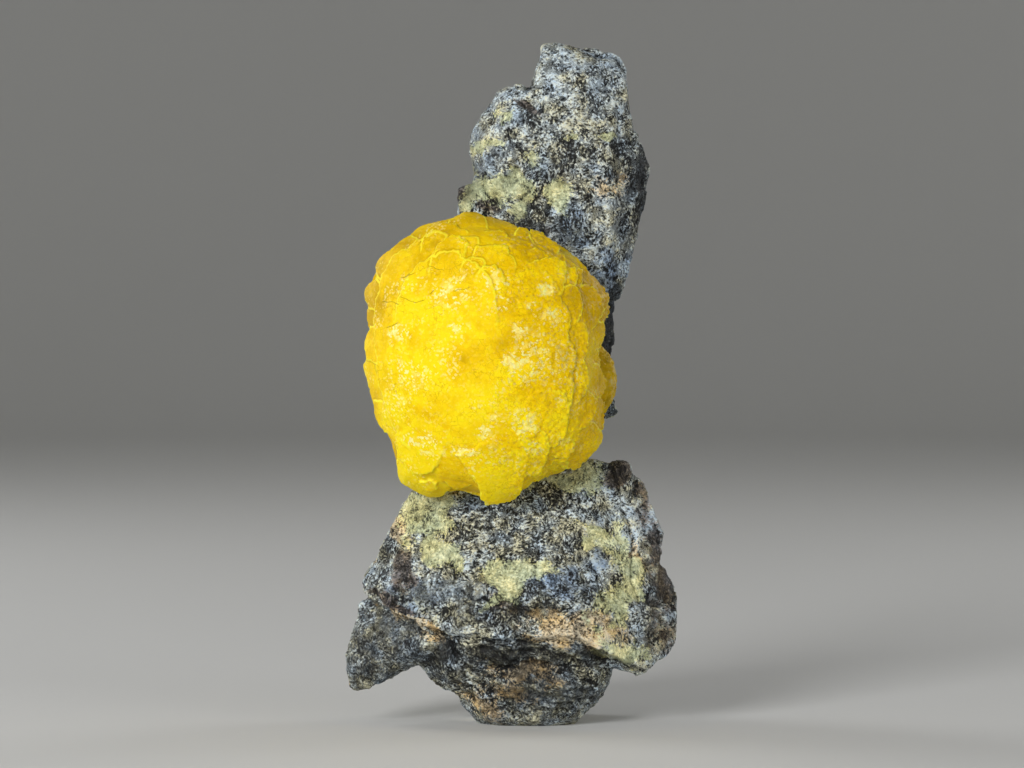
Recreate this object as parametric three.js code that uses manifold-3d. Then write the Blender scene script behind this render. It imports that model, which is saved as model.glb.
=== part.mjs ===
// A brucite specimen: a ball of curved brucite plates grown on the front of an upright piece of
// serpentinite. Millimetres, +Z up. The front, where the brucite is, faces -Y. The origin is the
// centre of the flat foot that the rock stands on.
import * as THREE from "three";
import { ConvexGeometry } from "three/addons/geometries/ConvexGeometry.js";
import { mergeVertices } from "three/addons/utils/BufferGeometryUtils.js";
import Module from "manifold-3d";

const wasm = await Module();
wasm.setup();

// Driving dimensions, mm. The rock's own sizes are the corners of its lumps, below.
const CONTACT_GAP = 0.5; // clearance between the brucite and the rock that it grew on

const BALL_CENTRE = [-6.8, -12, 65];
const BALL_FRONT = 16; // from the centre to the front of the outermost full plate
const BALL_BACK = 14.5; // from the centre to the back of the ball, inside the rock
const BALL_RADII = [20.8, 25]; // the smooth ellipse that its front swells from
const BALL_SPOKES = 44;
const TERRACE_STEP = 0.028; // rise of one plate over the next, as a share of the ball, about 0.6 mm

// The ball's outline from the front, [x, z], anticlockwise from its right edge.
const BALL_OUTLINE = [
  [13.3, 64], [13.7, 70.5], [14.6, 74.8], [12.8, 76.9], [9.7, 80.6], [6.2, 83.2], [1.8, 86.9],
  [-2.3, 87.6], [-4.4, 88.9], [-10.9, 89.9], [-14.1, 88.3], [-19.4, 86.6], [-23.8, 83.6],
  [-26.1, 80], [-26.2, 77.9], [-27.9, 75.1], [-27.4, 71.2], [-27.9, 67.7], [-28.1, 63.3],
  [-27.2, 59.5], [-25.6, 54.5], [-23.6, 50.5], [-22.2, 46], [-21.6, 43], [-19.4, 41.6],
  [-15.9, 40.5], [-10.9, 41.2], [-6.2, 39.6], [-2.6, 40.7], [0.9, 42.6], [4.4, 44.4],
  [9.2, 45.4], [12, 47.4], [13.2, 50], [13.8, 53.5], [13.2, 58],
];

const SIDE_LOBE_CENTRE = [9.8, -5.5, 60.5]; // the small growth behind the ball's right edge
const SIDE_LOBE_RADII = [6.4, 6.5, 7.4];

// ---------------------------------------------------------------- solids

const vector = (corner) => new THREE.Vector3(...corner);

function solidOf(geometry) {
  const bare = geometry.clone();
  bare.deleteAttribute("normal");
  bare.deleteAttribute("uv");
  const welded = mergeVertices(bare, 1e-4);
  const mesh = new wasm.Mesh({
    numProp: 3,
    vertProperties: new Float32Array(welded.attributes.position.array),
    triVerts: new Uint32Array(welded.index.array),
  });
  return new wasm.Manifold(mesh);
}

function geometryOf(solid) {
  const mesh = solid.getMesh();
  const geometry = new THREE.BufferGeometry();
  geometry.setAttribute("position", new THREE.BufferAttribute(mesh.vertProperties, mesh.numProp));
  geometry.setIndex(new THREE.BufferAttribute(mesh.triVerts, 1));
  return geometry;
}

const joined = (solids) => solids.reduce((whole, next) => whole.add(next));

// One lump of rock: the convex block with these corners, grown by a margin on every side.
function lump(corners, margin = 0) {
  const reach = [-margin, margin];
  const around = (corner) =>
    reach.flatMap((step) => [0, 1, 2].map((axis) => vector(corner).setComponent(axis, corner[axis] + step)));
  return solidOf(new ConvexGeometry(corners.flatMap(margin > 0 ? around : (corner) => [vector(corner)])));
}

// ---------------------------------------------------------------- the rock

// Upper rock, above the brucite.
const CROWN = [
  [0.6, -7, 108], [10, -8.5, 107], [17.6, -6, 106], [2.2, -6.5, 115.2], [9, -7.2, 113.4],
  [17.6, -5, 113.6], [3.1, -3.5, 119.2], [8.5, -3.8, 118.6], [16, -3, 116.8], [3.3, 0.5, 120],
  [6.6, 0.5, 120], [13, 0, 118.2], [16.6, 1, 117.7], [4, 6, 117.8], [10, 7.5, 116], [16, 6, 113.4],
  [18.1, 1, 112.6], [18.1, 0, 107], [16, 9, 103], [4, 9, 104], [0.8, 2, 111.5],
];
const SHOULDER = [
  [-4.4, -3, 112.3], [-0.8, -5, 112.5], [2, -7.4, 110], [-5.6, -1, 111], [-3.6, 5.5, 110.4],
  [3, 6, 111.6], [-9, -2, 105.4], [-9.7, -1.5, 102.6], [-9.7, 1, 101], [-9, 0, 96.5],
  [-4, -7.6, 106.5], [-7, -6.4, 103], [-6.5, -7.8, 97], [4, -9, 105], [2, -9, 97],
  [-7, 7.5, 102], [-6, 8.5, 96], [4, 9.5, 105], [4, 10, 96],
];
const PILLAR = [
  [-8.9, -3.5, 96], [-7, -7, 99], [-8.7, -5.5, 89], [0, -9, 99], [8, -10, 97], [14, -9.5, 101],
  [10, -9.2, 105], [15, -8, 105.8], [4, -9, 88], [15, -9, 88], [18.8, -4, 105.6],
  [21.1, -3, 101.3], [22.3, -1, 98.6], [21.8, -1, 94], [20.8, -1.5, 91.4], [19.6, -2, 86],
  [17.8, -3, 76.8], [16.3, -2.5, 74.2], [13, -6, 76], [4, -6, 76], [17, 7.5, 104.5],
  [19.5, 8, 95], [16.6, 10.5, 80], [0, 11, 102], [9, 13, 93], [-7, 9.5, 96], [-6.4, 10.5, 82],
  [4, 12, 76], [-8.8, 1, 88],
];
// The step between the crown and the pillar, worn to a slope.
const COLLAR = [
  [1.4, -7.6, 112], [8, -8.6, 111], [15.6, -7, 111], [17.4, -4, 109], [18.3, 1, 107.4], [17, 7, 107],
  [0, -9, 101], [6, -10, 99], [15, -9.4, 99], [19.6, -3.6, 103], [3, 7, 110], [-2, -6.6, 108],
  [-5, 4, 106], [2, 10, 100], [13, 9.4, 108],
];
const CORNER_KNOB = [
  [-11.7, -4, 94.6], [-12, -4.5, 90], [-8.2, -6, 95.3], [-8, -6, 87.5], [-11.5, 0.5, 94],
  [-11.7, 0.5, 88.6], [-7, 2.5, 94.6], [-7, 2.5, 87],
];

// The waist behind the brucite, and the slab that runs up the back.
const NECK = [
  [15.9, 1, 76.5], [16, 3.5, 67], [14.4, 4, 60], [12.2, 4, 52], [10.4, 3, 46], [12, -3.5, 76],
  [10, -4, 62], [7, -4, 48], [-4, -3.5, 82], [-8, -2.5, 66], [-9, -3.5, 46], [-6, 11, 84],
  [-9, 10.5, 62], [-11, 10, 46], [6, 13.5, 82], [5, 13.5, 60], [4, 14, 44], [14.5, 10.5, 78],
  [13, 10.5, 60], [10.6, 10.5, 46],
];
const SLAB = [
  [-15, 2, 26], [-13, 12, 24], [-12, 4, 52], [-11.6, 11, 50], [-9, 4, 76], [-7.8, 11.6, 74],
  [-6.6, 5, 98], [-4, 11.4, 96], [-3, 15.6, 30], [2, 15.8, 62], [3, 15, 84], [7.6, 14.4, 34],
  [11, 12, 56], [11.2, 4, 40], [12, 11.4, 82], [11, 10.6, 96],
];
const RIDGE = [
  [-5, 8, 40], [-2, 17.2, 44], [1.6, 17.6, 60], [4.6, 16.8, 74], [8.4, 14.2, 88], [7, 8, 92],
  [9.6, 13.4, 70], [6.4, 14.6, 50], [2, 12, 36], [-1.6, 13, 66], [2.2, 13.4, 86],
];
const SIDE_CHIP = [
  [17, 1.5, 54.8], [16.2, 1, 57.1], [13.4, 0, 57.6], [13, 0, 52.6], [16.6, 1.5, 53.7],
  [11.5, 6, 58.5], [11, 6, 52], [15.8, 4.5, 55],
];

// Lower rock: the block whose front slopes out and down to an overhanging lip.
const BASE = [
  [-28.4, -9, 22.8], [-24.4, -13.6, 20.6], [-18.5, -17, 18.2], [-14.5, -18.5, 16.8],
  [0, -20.2, 14.6], [8.3, -20.6, 14.8], [13, -19.4, 13.4], [18.7, -17.2, 11.4], [21.9, -14.6, 10.4],
  [-20.2, -7, 41], [-12, -8.4, 43.6], [0, -8.6, 45.8], [11.8, -6.5, 46.8], [17.6, -4.5, 44.8],
  [20.8, -3.5, 42.2], [22.9, -4, 38.6], [24.2, -5, 34], [24, -7, 29], [-22.9, -5.5, 35.6],
  [-23.7, -7, 32.4], [-26.6, -8, 28.9], [-28.5, -6.5, 25.4], [-19, 7, 40], [-24, 9, 31],
  [-26, 8, 22], [-20, 10.4, 12], [0, 12.6, 44.4], [9, 10.4, 45.4], [18.4, 6.6, 41], [22.4, 8.4, 27],
  [21.5, 8, 14], [2, 14.4, 26], [0, 13, 9],
];
const RIGHT_BULGE = [
  [24.6, -6, 28], [25.8, -5, 25.4], [26.8, -6, 22.8], [26.5, -8, 19], [26.7, -9, 14.6],
  [25.2, -11, 12.4], [21.9, -14.6, 10.3], [19.4, -13, 9.2], [15, -14, 11], [18, -14.6, 22],
  [24, 4, 26], [24.8, 3, 15], [22, 5, 10.5], [15, 6, 10], [15, 6, 26], [25, 4, 20],
];
const WING = [
  [-28.6, -6, 21.6], [-22.5, -11.8, 19.4], [-15, -15, 16], [-29.6, -8.4, 17.2], [-31, -9.4, 14.6],
  [-31.5, -9.6, 12], [-31.3, -9.6, 9], [-30.9, -8.8, 6.2], [-30, -8.2, 5.6], [-27.4, -8.8, 6.4],
  [-24.7, -9.4, 7.8], [-21.2, -10, 10.2], [-16, -12, 11.6], [-28, 3, 18], [-29.4, 0.5, 10],
  [-27.4, 1, 7.4], [-20, 7, 10.4], [-17, 8, 16],
];
const KEEL = [
  [-18.6, -9, 10], [-17.3, -8.4, 8.5], [-16.4, -8, 7], [-14.5, -8, 5.8], [-12, -9, 5.2],
  [-15.5, -14.2, 15.8], [-12, -14.6, 9.4], [-4, -14.4, 13], [-3, -14.8, 8], [-16, 7, 9],
  [-12, 8, 6.4], [0, 10, 8], [0, 10, 14], [-14, 6, 15],
];
const NUB = [
  [-12.3, -8, 6], [-11.4, -8, 4], [-9.7, -7.5, 2.2], [15.2, -7, 9.6], [15, -7, 6.8],
  [14.5, -6.5, 5.4], [12.6, -6.5, 3.8], [10.6, -6.5, 2.4], [-8.4, -15, 8.6], [0, -16.8, 7.6],
  [8, -16.6, 7.4], [13, -13.2, 7.6], [-5, -15.2, 11.4], [4, -15.8, 12], [12.4, -13.2, 11.2],
  [-6, -13, 1.4], [2, -13.8, 1], [8, -12.6, 1.6], [-8.4, -7.2, 0], [-4.4, -11.4, 0], [3.8, -12, 0],
  [8.8, -8.6, 0], [9.8, 2, 0], [5.6, 10.4, 0], [-4.4, 11, 0], [-9.2, 3.8, 0], [-10.4, 7.6, 6],
  [-2, 13, 7.6], [12, 9, 6.4], [13, 3, 11], [-9, -12.2, 14.2], [-2, -13.2, 14.9], [9, -13.2, 14.8],
  [13, -12, 13.2],
];
const TOP_GRAIN = [
  [15.2, -4.6, 45.8], [18.2, -4.4, 45.9], [18.7, -5, 43.2], [15.4, -6.4, 42], [16, 0.4, 45.6],
  [18, 0, 45], [17, -1, 41],
];
const BACK_SPALL = [
  [-16, 8, 35], [-10, 16, 30], [3, 17.6, 33], [12, 13.4, 35], [-14, 14, 16], [2, 17.6, 15],
  [12, 14, 16], [-18, 9, 13], [14, 8, 12], [4, 12, 9], [0, 8, 40], [14, 9, 31],
];

// Where rock has broken away: under the lip, and one deep flake off the back of the lower block.
const UNDER_LIP = [
  [-13.5, -26, 15.9], [8.3, -26, 16.6], [13, -26, 14.9], [20.6, -26, 11], [22, -26, 5],
  [-15, -26, 5], [-12, -12.6, 14.6], [8, -13, 14.9], [17.5, -12.4, 11.2], [18, -11, 5], [-12, -12, 5],
];
const BACK_FLAKE = [
  [-30, 3, 38], [-30, 8, 17], [-12, 16, 16], [-8, 17.4, 31], [-14, 7.4, 41], [-24, 24, 16],
  [-8, 26, 30], [-20, 20, 42],
];

const upperRock = [CROWN, SHOULDER, COLLAR, PILLAR, CORNER_KNOB];
const middleRock = [NECK, SLAB, RIDGE, SIDE_CHIP];
const lowerRock = [WING, KEEL, NUB, TOP_GRAIN];

const block = joined([BASE, RIGHT_BULGE, BACK_SPALL].map((corners) => lump(corners)))
  .subtract(lump(UNDER_LIP))
  .subtract(lump(BACK_FLAKE));
const rock = joined([block, ...[...upperRock, ...middleRock, ...lowerRock].map((corners) => lump(corners))]);

// ---------------------------------------------------------------- the brucite

const outlineAngles = BALL_OUTLINE.map(([x, z]) => Math.atan2(z - BALL_CENTRE[2], x - BALL_CENTRE[0]));
const outlineRadii = BALL_OUTLINE.map(([x, z]) => Math.hypot(z - BALL_CENTRE[2], x - BALL_CENTRE[0]));
const FULL_TURN = 2 * Math.PI;
const turnFrom = (from, to) => (((to - from) % FULL_TURN) + FULL_TURN) % FULL_TURN;

// The ball's radius from its centre to its outline, at an angle from +X towards +Z.
function outlineRadius(angle) {
  const count = BALL_OUTLINE.length;
  for (let k = 0; k < count; k++) {
    const next = (k + 1) % count;
    const span = turnFrom(outlineAngles[k], outlineAngles[next]);
    const along = turnFrom(outlineAngles[k], angle);
    if (along <= span) return THREE.MathUtils.lerp(outlineRadii[k], outlineRadii[next], along / span);
  }
  return outlineRadii[0];
}

// A point of the ball's skin. tilt is 0 at the front, 1 at the outline and 2 at the back, and scale
// is the size against that of the outermost plate.
function onBall(tilt, angle, scale) {
  const turn = (tilt * Math.PI) / 2;
  const smooth = 1 / Math.hypot(Math.cos(angle) / BALL_RADII[0], Math.sin(angle) / BALL_RADII[1]);
  const nearOutline = Math.sin(turn) ** 4;
  const radius = THREE.MathUtils.lerp(smooth, outlineRadius(angle), nearOutline);
  const side = radius * Math.sin(turn) * scale;
  const depth = (tilt < 1 ? BALL_FRONT : BALL_BACK) * Math.cos(turn) * scale;
  return new THREE.Vector3(
    BALL_CENTRE[0] + side * Math.cos(angle),
    BALL_CENTRE[1] - depth,
    BALL_CENTRE[2] + side * Math.sin(angle),
  );
}

// The lobed edges of the plates in front of the outermost one, from the front plate out.
const TERRACES = [
  { tilt: 0.46, lobes: 5, depth: 0.09, phase: 0.4 },
  { tilt: 0.66, lobes: 7, depth: 0.07, phase: 2.1 },
  { tilt: 0.83, lobes: 9, depth: 0.05, phase: 1.2 },
];
const terraceEdge = (terrace, angle) =>
  terrace.tilt + terrace.depth * Math.abs(Math.sin((terrace.lobes * angle) / 2 + terrace.phase));

// The rings of the ball's skin from front to back, as [tilt, steps up] at each angle. Each plate's
// edge takes two rings at the same tilt, one above and one below.
function skinAt(angle) {
  const [front, middle, outer] = TERRACES.map((terrace) => terraceEdge(terrace, angle));
  return [
    [0.16, 3], [0.34, 3], [front, 3], [front + 0.01, 2], [middle, 2], [middle + 0.01, 1],
    [outer, 1], [outer + 0.01, 0], [1, 0], [1.12, -1], [1.3, -1], [1.5, -1], [1.75, -1],
  ];
}

function ball() {
  const angles = Array.from({ length: BALL_SPOKES }, (_, k) => (k * FULL_TURN) / BALL_SPOKES);
  const spokes = angles.map((angle) =>
    skinAt(angle).map(([tilt, steps]) => onBall(tilt, angle, 1 + steps * TERRACE_STEP)),
  );
  const rings = spokes[0].length;
  const points = [onBall(0, 0, 1 + 3 * TERRACE_STEP), ...spokes.flat(), onBall(2, 0, 1 - TERRACE_STEP)];
  const at = (spoke, ring) => 1 + (spoke % BALL_SPOKES) * rings + ring;
  const faces = [];
  for (let k = 0; k < BALL_SPOKES; k++) {
    faces.push([0, at(k, 0), at(k + 1, 0)]);
    for (let ring = 0; ring + 1 < rings; ring++) {
      faces.push([at(k, ring), at(k, ring + 1), at(k + 1, ring + 1)]);
      faces.push([at(k, ring), at(k + 1, ring + 1), at(k + 1, ring)]);
    }
    faces.push([at(k, rings - 1), points.length - 1, at(k + 1, rings - 1)]);
  }
  const geometry = new THREE.BufferGeometry().setFromPoints(points);
  geometry.setIndex(faces.flat());
  return solidOf(geometry);
}

// The thick folded blades at the bottom of the ball.
const BLADES = [
  [
    [-14.6, -24.6, 52], [-9, -27.4, 52.6], [-2, -27.6, 51], [-9.4, -26, 44], [-7.4, -22.4, 39.9],
    [-3, -22, 40.9], [0.6, -24, 46], [-8, -16, 41.4], [0, -16, 44], [-12, -18, 50],
  ],
  [
    [-21.6, -20, 50.6], [-16.4, -24.6, 50.4], [-12.4, -23.4, 46.4], [-15, -19, 41], [-20, -17.4, 42.4],
    [-21.4, -14, 44.6], [-12, -15, 41.8], [-14, -16, 50],
  ],
  [
    [2, -25, 53], [6.6, -22.6, 55.4], [10.2, -19, 52], [8, -19.4, 46.4], [3, -21.4, 45.4],
    [9.4, -13.6, 46.4], [2, -15, 46], [4, -16, 54],
  ],
];

const sideLobe = solidOf(
  new THREE.IcosahedronGeometry(1, 3).scale(...SIDE_LOBE_RADII).translate(...SIDE_LOBE_CENTRE),
);
const rockAndGap = joined(
  [...upperRock, ...middleRock, BASE].map((corners) => lump(corners, CONTACT_GAP)),
);
const brucite = joined([ball(), sideLobe, ...BLADES.map((corners) => lump(corners))])
  .subtract(rockAndGap)
  .decompose()
  .sort((a, b) => b.volume() - a.volume())[0];

// ---------------------------------------------------------------- the specimen

function piece(name, solid, colour, roughness) {
  const material = new THREE.MeshStandardMaterial({ color: colour, roughness, metalness: 0 });
  material.flatShading = true;
  const mesh = new THREE.Mesh(geometryOf(solid), material);
  mesh.name = name;
  return mesh;
}

const specimen = new THREE.Group();
specimen.add(piece("serpentinite_matrix", rock, "#6e716b", 0.75));
specimen.add(piece("brucite_ball", brucite, "#f0d21c", 0.4));

export default specimen;
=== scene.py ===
"""The looks of a brucite specimen: a ball of curved brucite plates on an upright piece of serpentinite.

Shapes are worked out in millimetres in the frame's own axes, with the front facing -Y, and turned to
metres when a piece is finished.
"""

import math
import random
from functools import partial

import bmesh
import bpy
import numpy as np
from mathutils import Matrix, Vector, noise
from mathutils.kdtree import KDTree


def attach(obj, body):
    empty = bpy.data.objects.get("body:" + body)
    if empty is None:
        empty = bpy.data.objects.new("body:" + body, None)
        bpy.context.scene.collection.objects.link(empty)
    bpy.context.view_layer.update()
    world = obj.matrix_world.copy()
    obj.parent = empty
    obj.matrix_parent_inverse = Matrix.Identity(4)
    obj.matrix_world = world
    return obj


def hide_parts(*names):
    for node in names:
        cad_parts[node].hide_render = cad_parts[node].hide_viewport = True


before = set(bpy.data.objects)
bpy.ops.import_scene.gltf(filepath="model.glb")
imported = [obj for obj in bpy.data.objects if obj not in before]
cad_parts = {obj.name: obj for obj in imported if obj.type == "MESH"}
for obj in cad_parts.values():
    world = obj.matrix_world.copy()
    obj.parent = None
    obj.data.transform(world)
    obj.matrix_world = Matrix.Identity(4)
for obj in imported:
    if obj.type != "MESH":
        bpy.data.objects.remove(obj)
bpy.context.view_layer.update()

bl_info = {
    "name": "Brucite specimen",
    "version": (1, 0, 0),
    "blender": (4, 5, 0),
    "location": "View3D > Sidebar > Specimen",
    "description": "Builds the rock, the brucite and the stage of a brucite specimen",
    "category": "Object",
}

MM = 0.001
ROCK_NODE = "serpentinite_matrix"
BRUCITE_NODE = "brucite_ball"
MOST_TRIANGLES = 196000  # of one piece


# ------------------------------------------------------------------ shared tools


def linear(hex_colour):
    """An sRGB hex colour as linear red, green and blue."""
    parts = [int(hex_colour[k : k + 2], 16) / 255 for k in (1, 3, 5)]
    return [c / 12.92 if c <= 0.04045 else ((c + 0.055) / 1.055) ** 2.4 for c in parts]


def set_inputs(node, inputs):
    """Links a node's inputs to other nodes' outputs, or sets them to plain values."""
    for name, value in dict(inputs).items():
        if isinstance(value, bpy.types.NodeSocket):
            node.id_data.links.new(value, node.inputs[name])
        else:
            node.inputs[name].default_value = value


def add_node(tree, kind, inputs=(), stops=(), **properties):
    """Adds a shader node with its properties, inputs and colour stops, and returns its outputs."""
    made = tree.nodes.new("ShaderNode" + kind)
    for name, value in properties.items():
        setattr(made, name, value)
    set_inputs(made, inputs)
    for place, (position, colour) in enumerate(stops):
        elements = made.color_ramp.elements
        element = elements[place] if place < 2 else elements.new(position)
        element.position = position
        element.color = (*colour[:3], 1)
    return made.outputs


def shades(colour, *steps):
    """The stops of one colour from deep to light: each step is a position and a brightness."""
    return [(position, [min(1.0, c * light) for c in colour]) for position, light in steps]


def new_material(name):
    """A new material, its principled shader, and add_node for its node tree."""
    material = bpy.data.materials.new(name)
    material.use_nodes = True
    tree = material.node_tree
    return material, tree.nodes["Principled BSDF"], partial(add_node, tree)


def mesh_piece(name, points, faces):
    mesh = bpy.data.meshes.new(name)
    mesh.from_pydata(points, [], faces)
    piece = bpy.data.objects.new(name, mesh)
    bpy.context.scene.collection.objects.link(piece)
    return piece


def apply_modifiers(piece):
    """Makes piece's modifiers part of its mesh."""
    bpy.context.view_layer.update()
    evaluated = piece.evaluated_get(bpy.context.evaluated_depsgraph_get())
    baked = bpy.data.meshes.new_from_object(evaluated)
    piece.modifiers.clear()
    rough, piece.data = piece.data, baked
    bpy.data.meshes.remove(rough)


def grow_skin(piece, spacing):
    """Rebuilds piece as one even skin with that spacing, so that parts that overlap are one body."""
    skin = piece.modifiers.new("skin", "REMESH")
    skin.mode = "VOXEL"
    skin.voxel_size = spacing
    apply_modifiers(piece)


def thin_out(piece):
    """Thins piece's mesh to fewer than MOST_TRIANGLES triangles."""
    triangles = sum(len(p.vertices) - 2 for p in piece.data.polygons)
    if triangles >= MOST_TRIANGLES:
        thinner = piece.modifiers.new("thinner", "DECIMATE")
        thinner.ratio = 0.995 * MOST_TRIANGLES / triangles
        apply_modifiers(piece)


def read_points(mesh):
    points = np.empty(len(mesh.vertices) * 3, np.float32)
    mesh.vertices.foreach_get("co", points)
    return points.reshape(-1, 3).astype(float)


def read_normals(mesh):
    normals = np.empty(len(mesh.vertices) * 3, np.float32)
    mesh.vertex_normals.foreach_get("vector", normals)
    return normals.reshape(-1, 3).astype(float)


def read_edges(mesh):
    edges = np.empty(len(mesh.edges) * 2, np.int32)
    mesh.edges.foreach_get("vertices", edges)
    return edges.reshape(-1, 2)


def write_points(mesh, points):
    mesh.vertices.foreach_set("co", points.astype(np.float32).ravel())
    mesh.update()


def write_mask(mesh, name, values):
    """Stores one number per vertex for the material to read."""
    layer = mesh.attributes.new(name, "FLOAT", "POINT")
    layer.data.foreach_set("value", np.asarray(values, np.float32))


def relaxed(values, edges, rounds):
    """values, one row per vertex, each averaged with its neighbours' this many times."""
    count = len(values)
    neighbours = np.maximum(np.bincount(edges.ravel(), minlength=count), 1)
    for _ in range(rounds):
        sums = np.empty_like(values)
        for axis in range(values.shape[1]):
            column = values[:, axis]
            sums[:, axis] = np.bincount(edges[:, 0], column[edges[:, 1]], count)
            sums[:, axis] += np.bincount(edges[:, 1], column[edges[:, 0]], count)
        values = (values + sums / neighbours[:, None]) / 2
    return values


def proudness(mesh, rounds):
    """How far each vertex stands out of the surface's smoothed run, in mm. Hollows are negative."""
    points = read_points(mesh)
    smooth = relaxed(points, read_edges(mesh), rounds)
    return np.einsum("ij,ij->i", points - smooth, read_normals(mesh))


TILT = Matrix.Rotation(0.9, 3, Vector((0.5, 0.8, 0.3)))  # turns the noise's grid off the axes


def waves(point, size, octaves=1, place=0.0):
    """Noise at a point, about -1 to 1, with features of that size in mm."""
    return noise.fractal(TILT @ point / size + Vector((place, place, place)), 0.9, 2.0, octaves)


def at_each(points, measure):
    """What a function of one point gives at every point."""
    return np.array([measure(Vector(p)) for p in points])


def noise_over(points, size, place, octaves=3):
    """Noise at every point, about -1 to 1, with features of that size in mm."""
    return at_each(points, lambda point: waves(point, size, octaves, place))


def ease(value):
    """0 up to 0 and 1 from 1 on, with a smooth rise between."""
    value = min(1.0, max(0.0, value))
    return value * value * (3 - 2 * value)


def facet(point, size, seed):
    """Height of a fracture made of flat facets of that size, about -0.5 to 0.5 of the size."""
    place = point / size + Vector((seed, seed, seed))
    centre = noise.voronoi(place)[1][0]
    slope = noise.cell_vector(centre * 57.3) * 2 - Vector((1, 1, 1))
    return (place - centre).dot(slope)


def off_line(x, z, line):
    """How far each x, z lies off a line of corners, mm: positive on its left and negative on its right."""
    off = np.full(len(x), 1e3)
    for (x1, z1), (x2, z2) in zip(line, line[1:]):
        along = (x - x1) * (x2 - x1) + (z - z1) * (z2 - z1)
        along = np.clip(along / ((x2 - x1) ** 2 + (z2 - z1) ** 2), 0, 1)
        away = np.hypot(x - x1 - along * (x2 - x1), z - z1 - along * (z2 - z1))
        side = np.where((x2 - x1) * (z - z1) > (z2 - z1) * (x - x1), 1, -1)
        off = np.where(away < np.abs(off), away * side, off)
    return off


def nearest_of(spots, points):
    """The index of the nearest of spots to each point, and how far it is, mm."""
    tree = KDTree(len(spots))
    for k, spot in enumerate(spots):
        tree.insert(spot, k)
    tree.balance()
    found = [tree.find(p) for p in points]
    return np.array([hit[1] for hit in found]), np.array([hit[2] for hit in found])


def finish_piece(piece, material, node):
    """Turns piece to metres, gives it its material and ties it to the frame."""
    piece.data.transform(Matrix.Scale(MM, 4))
    piece.data.materials.clear()
    piece.data.materials.append(material)
    piece.data.shade_smooth()
    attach(piece, "root")
    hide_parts(node)


# ------------------------------------------------------------------ the rock's shape

ROCK_SPACING = 0.4
FOOT_CLEAR = (0.6, 4.0)  # heights between which the relief fades in above the flat foot
LIP_HEIGHT = 16  # of the lower block's overhanging edge
LIP_FRONT = -15.5  # the lip is in front of this depth
LIP_LIFT = 0.9
LEDGES_TOP = 17  # the layered break shows below this height, on the foot and under the lip
LEDGES_SIDES = (-14, 15)  # and between these, across
SEAM_DEPTH = 0.6
SEAM_WIDTH = 0.34

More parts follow.
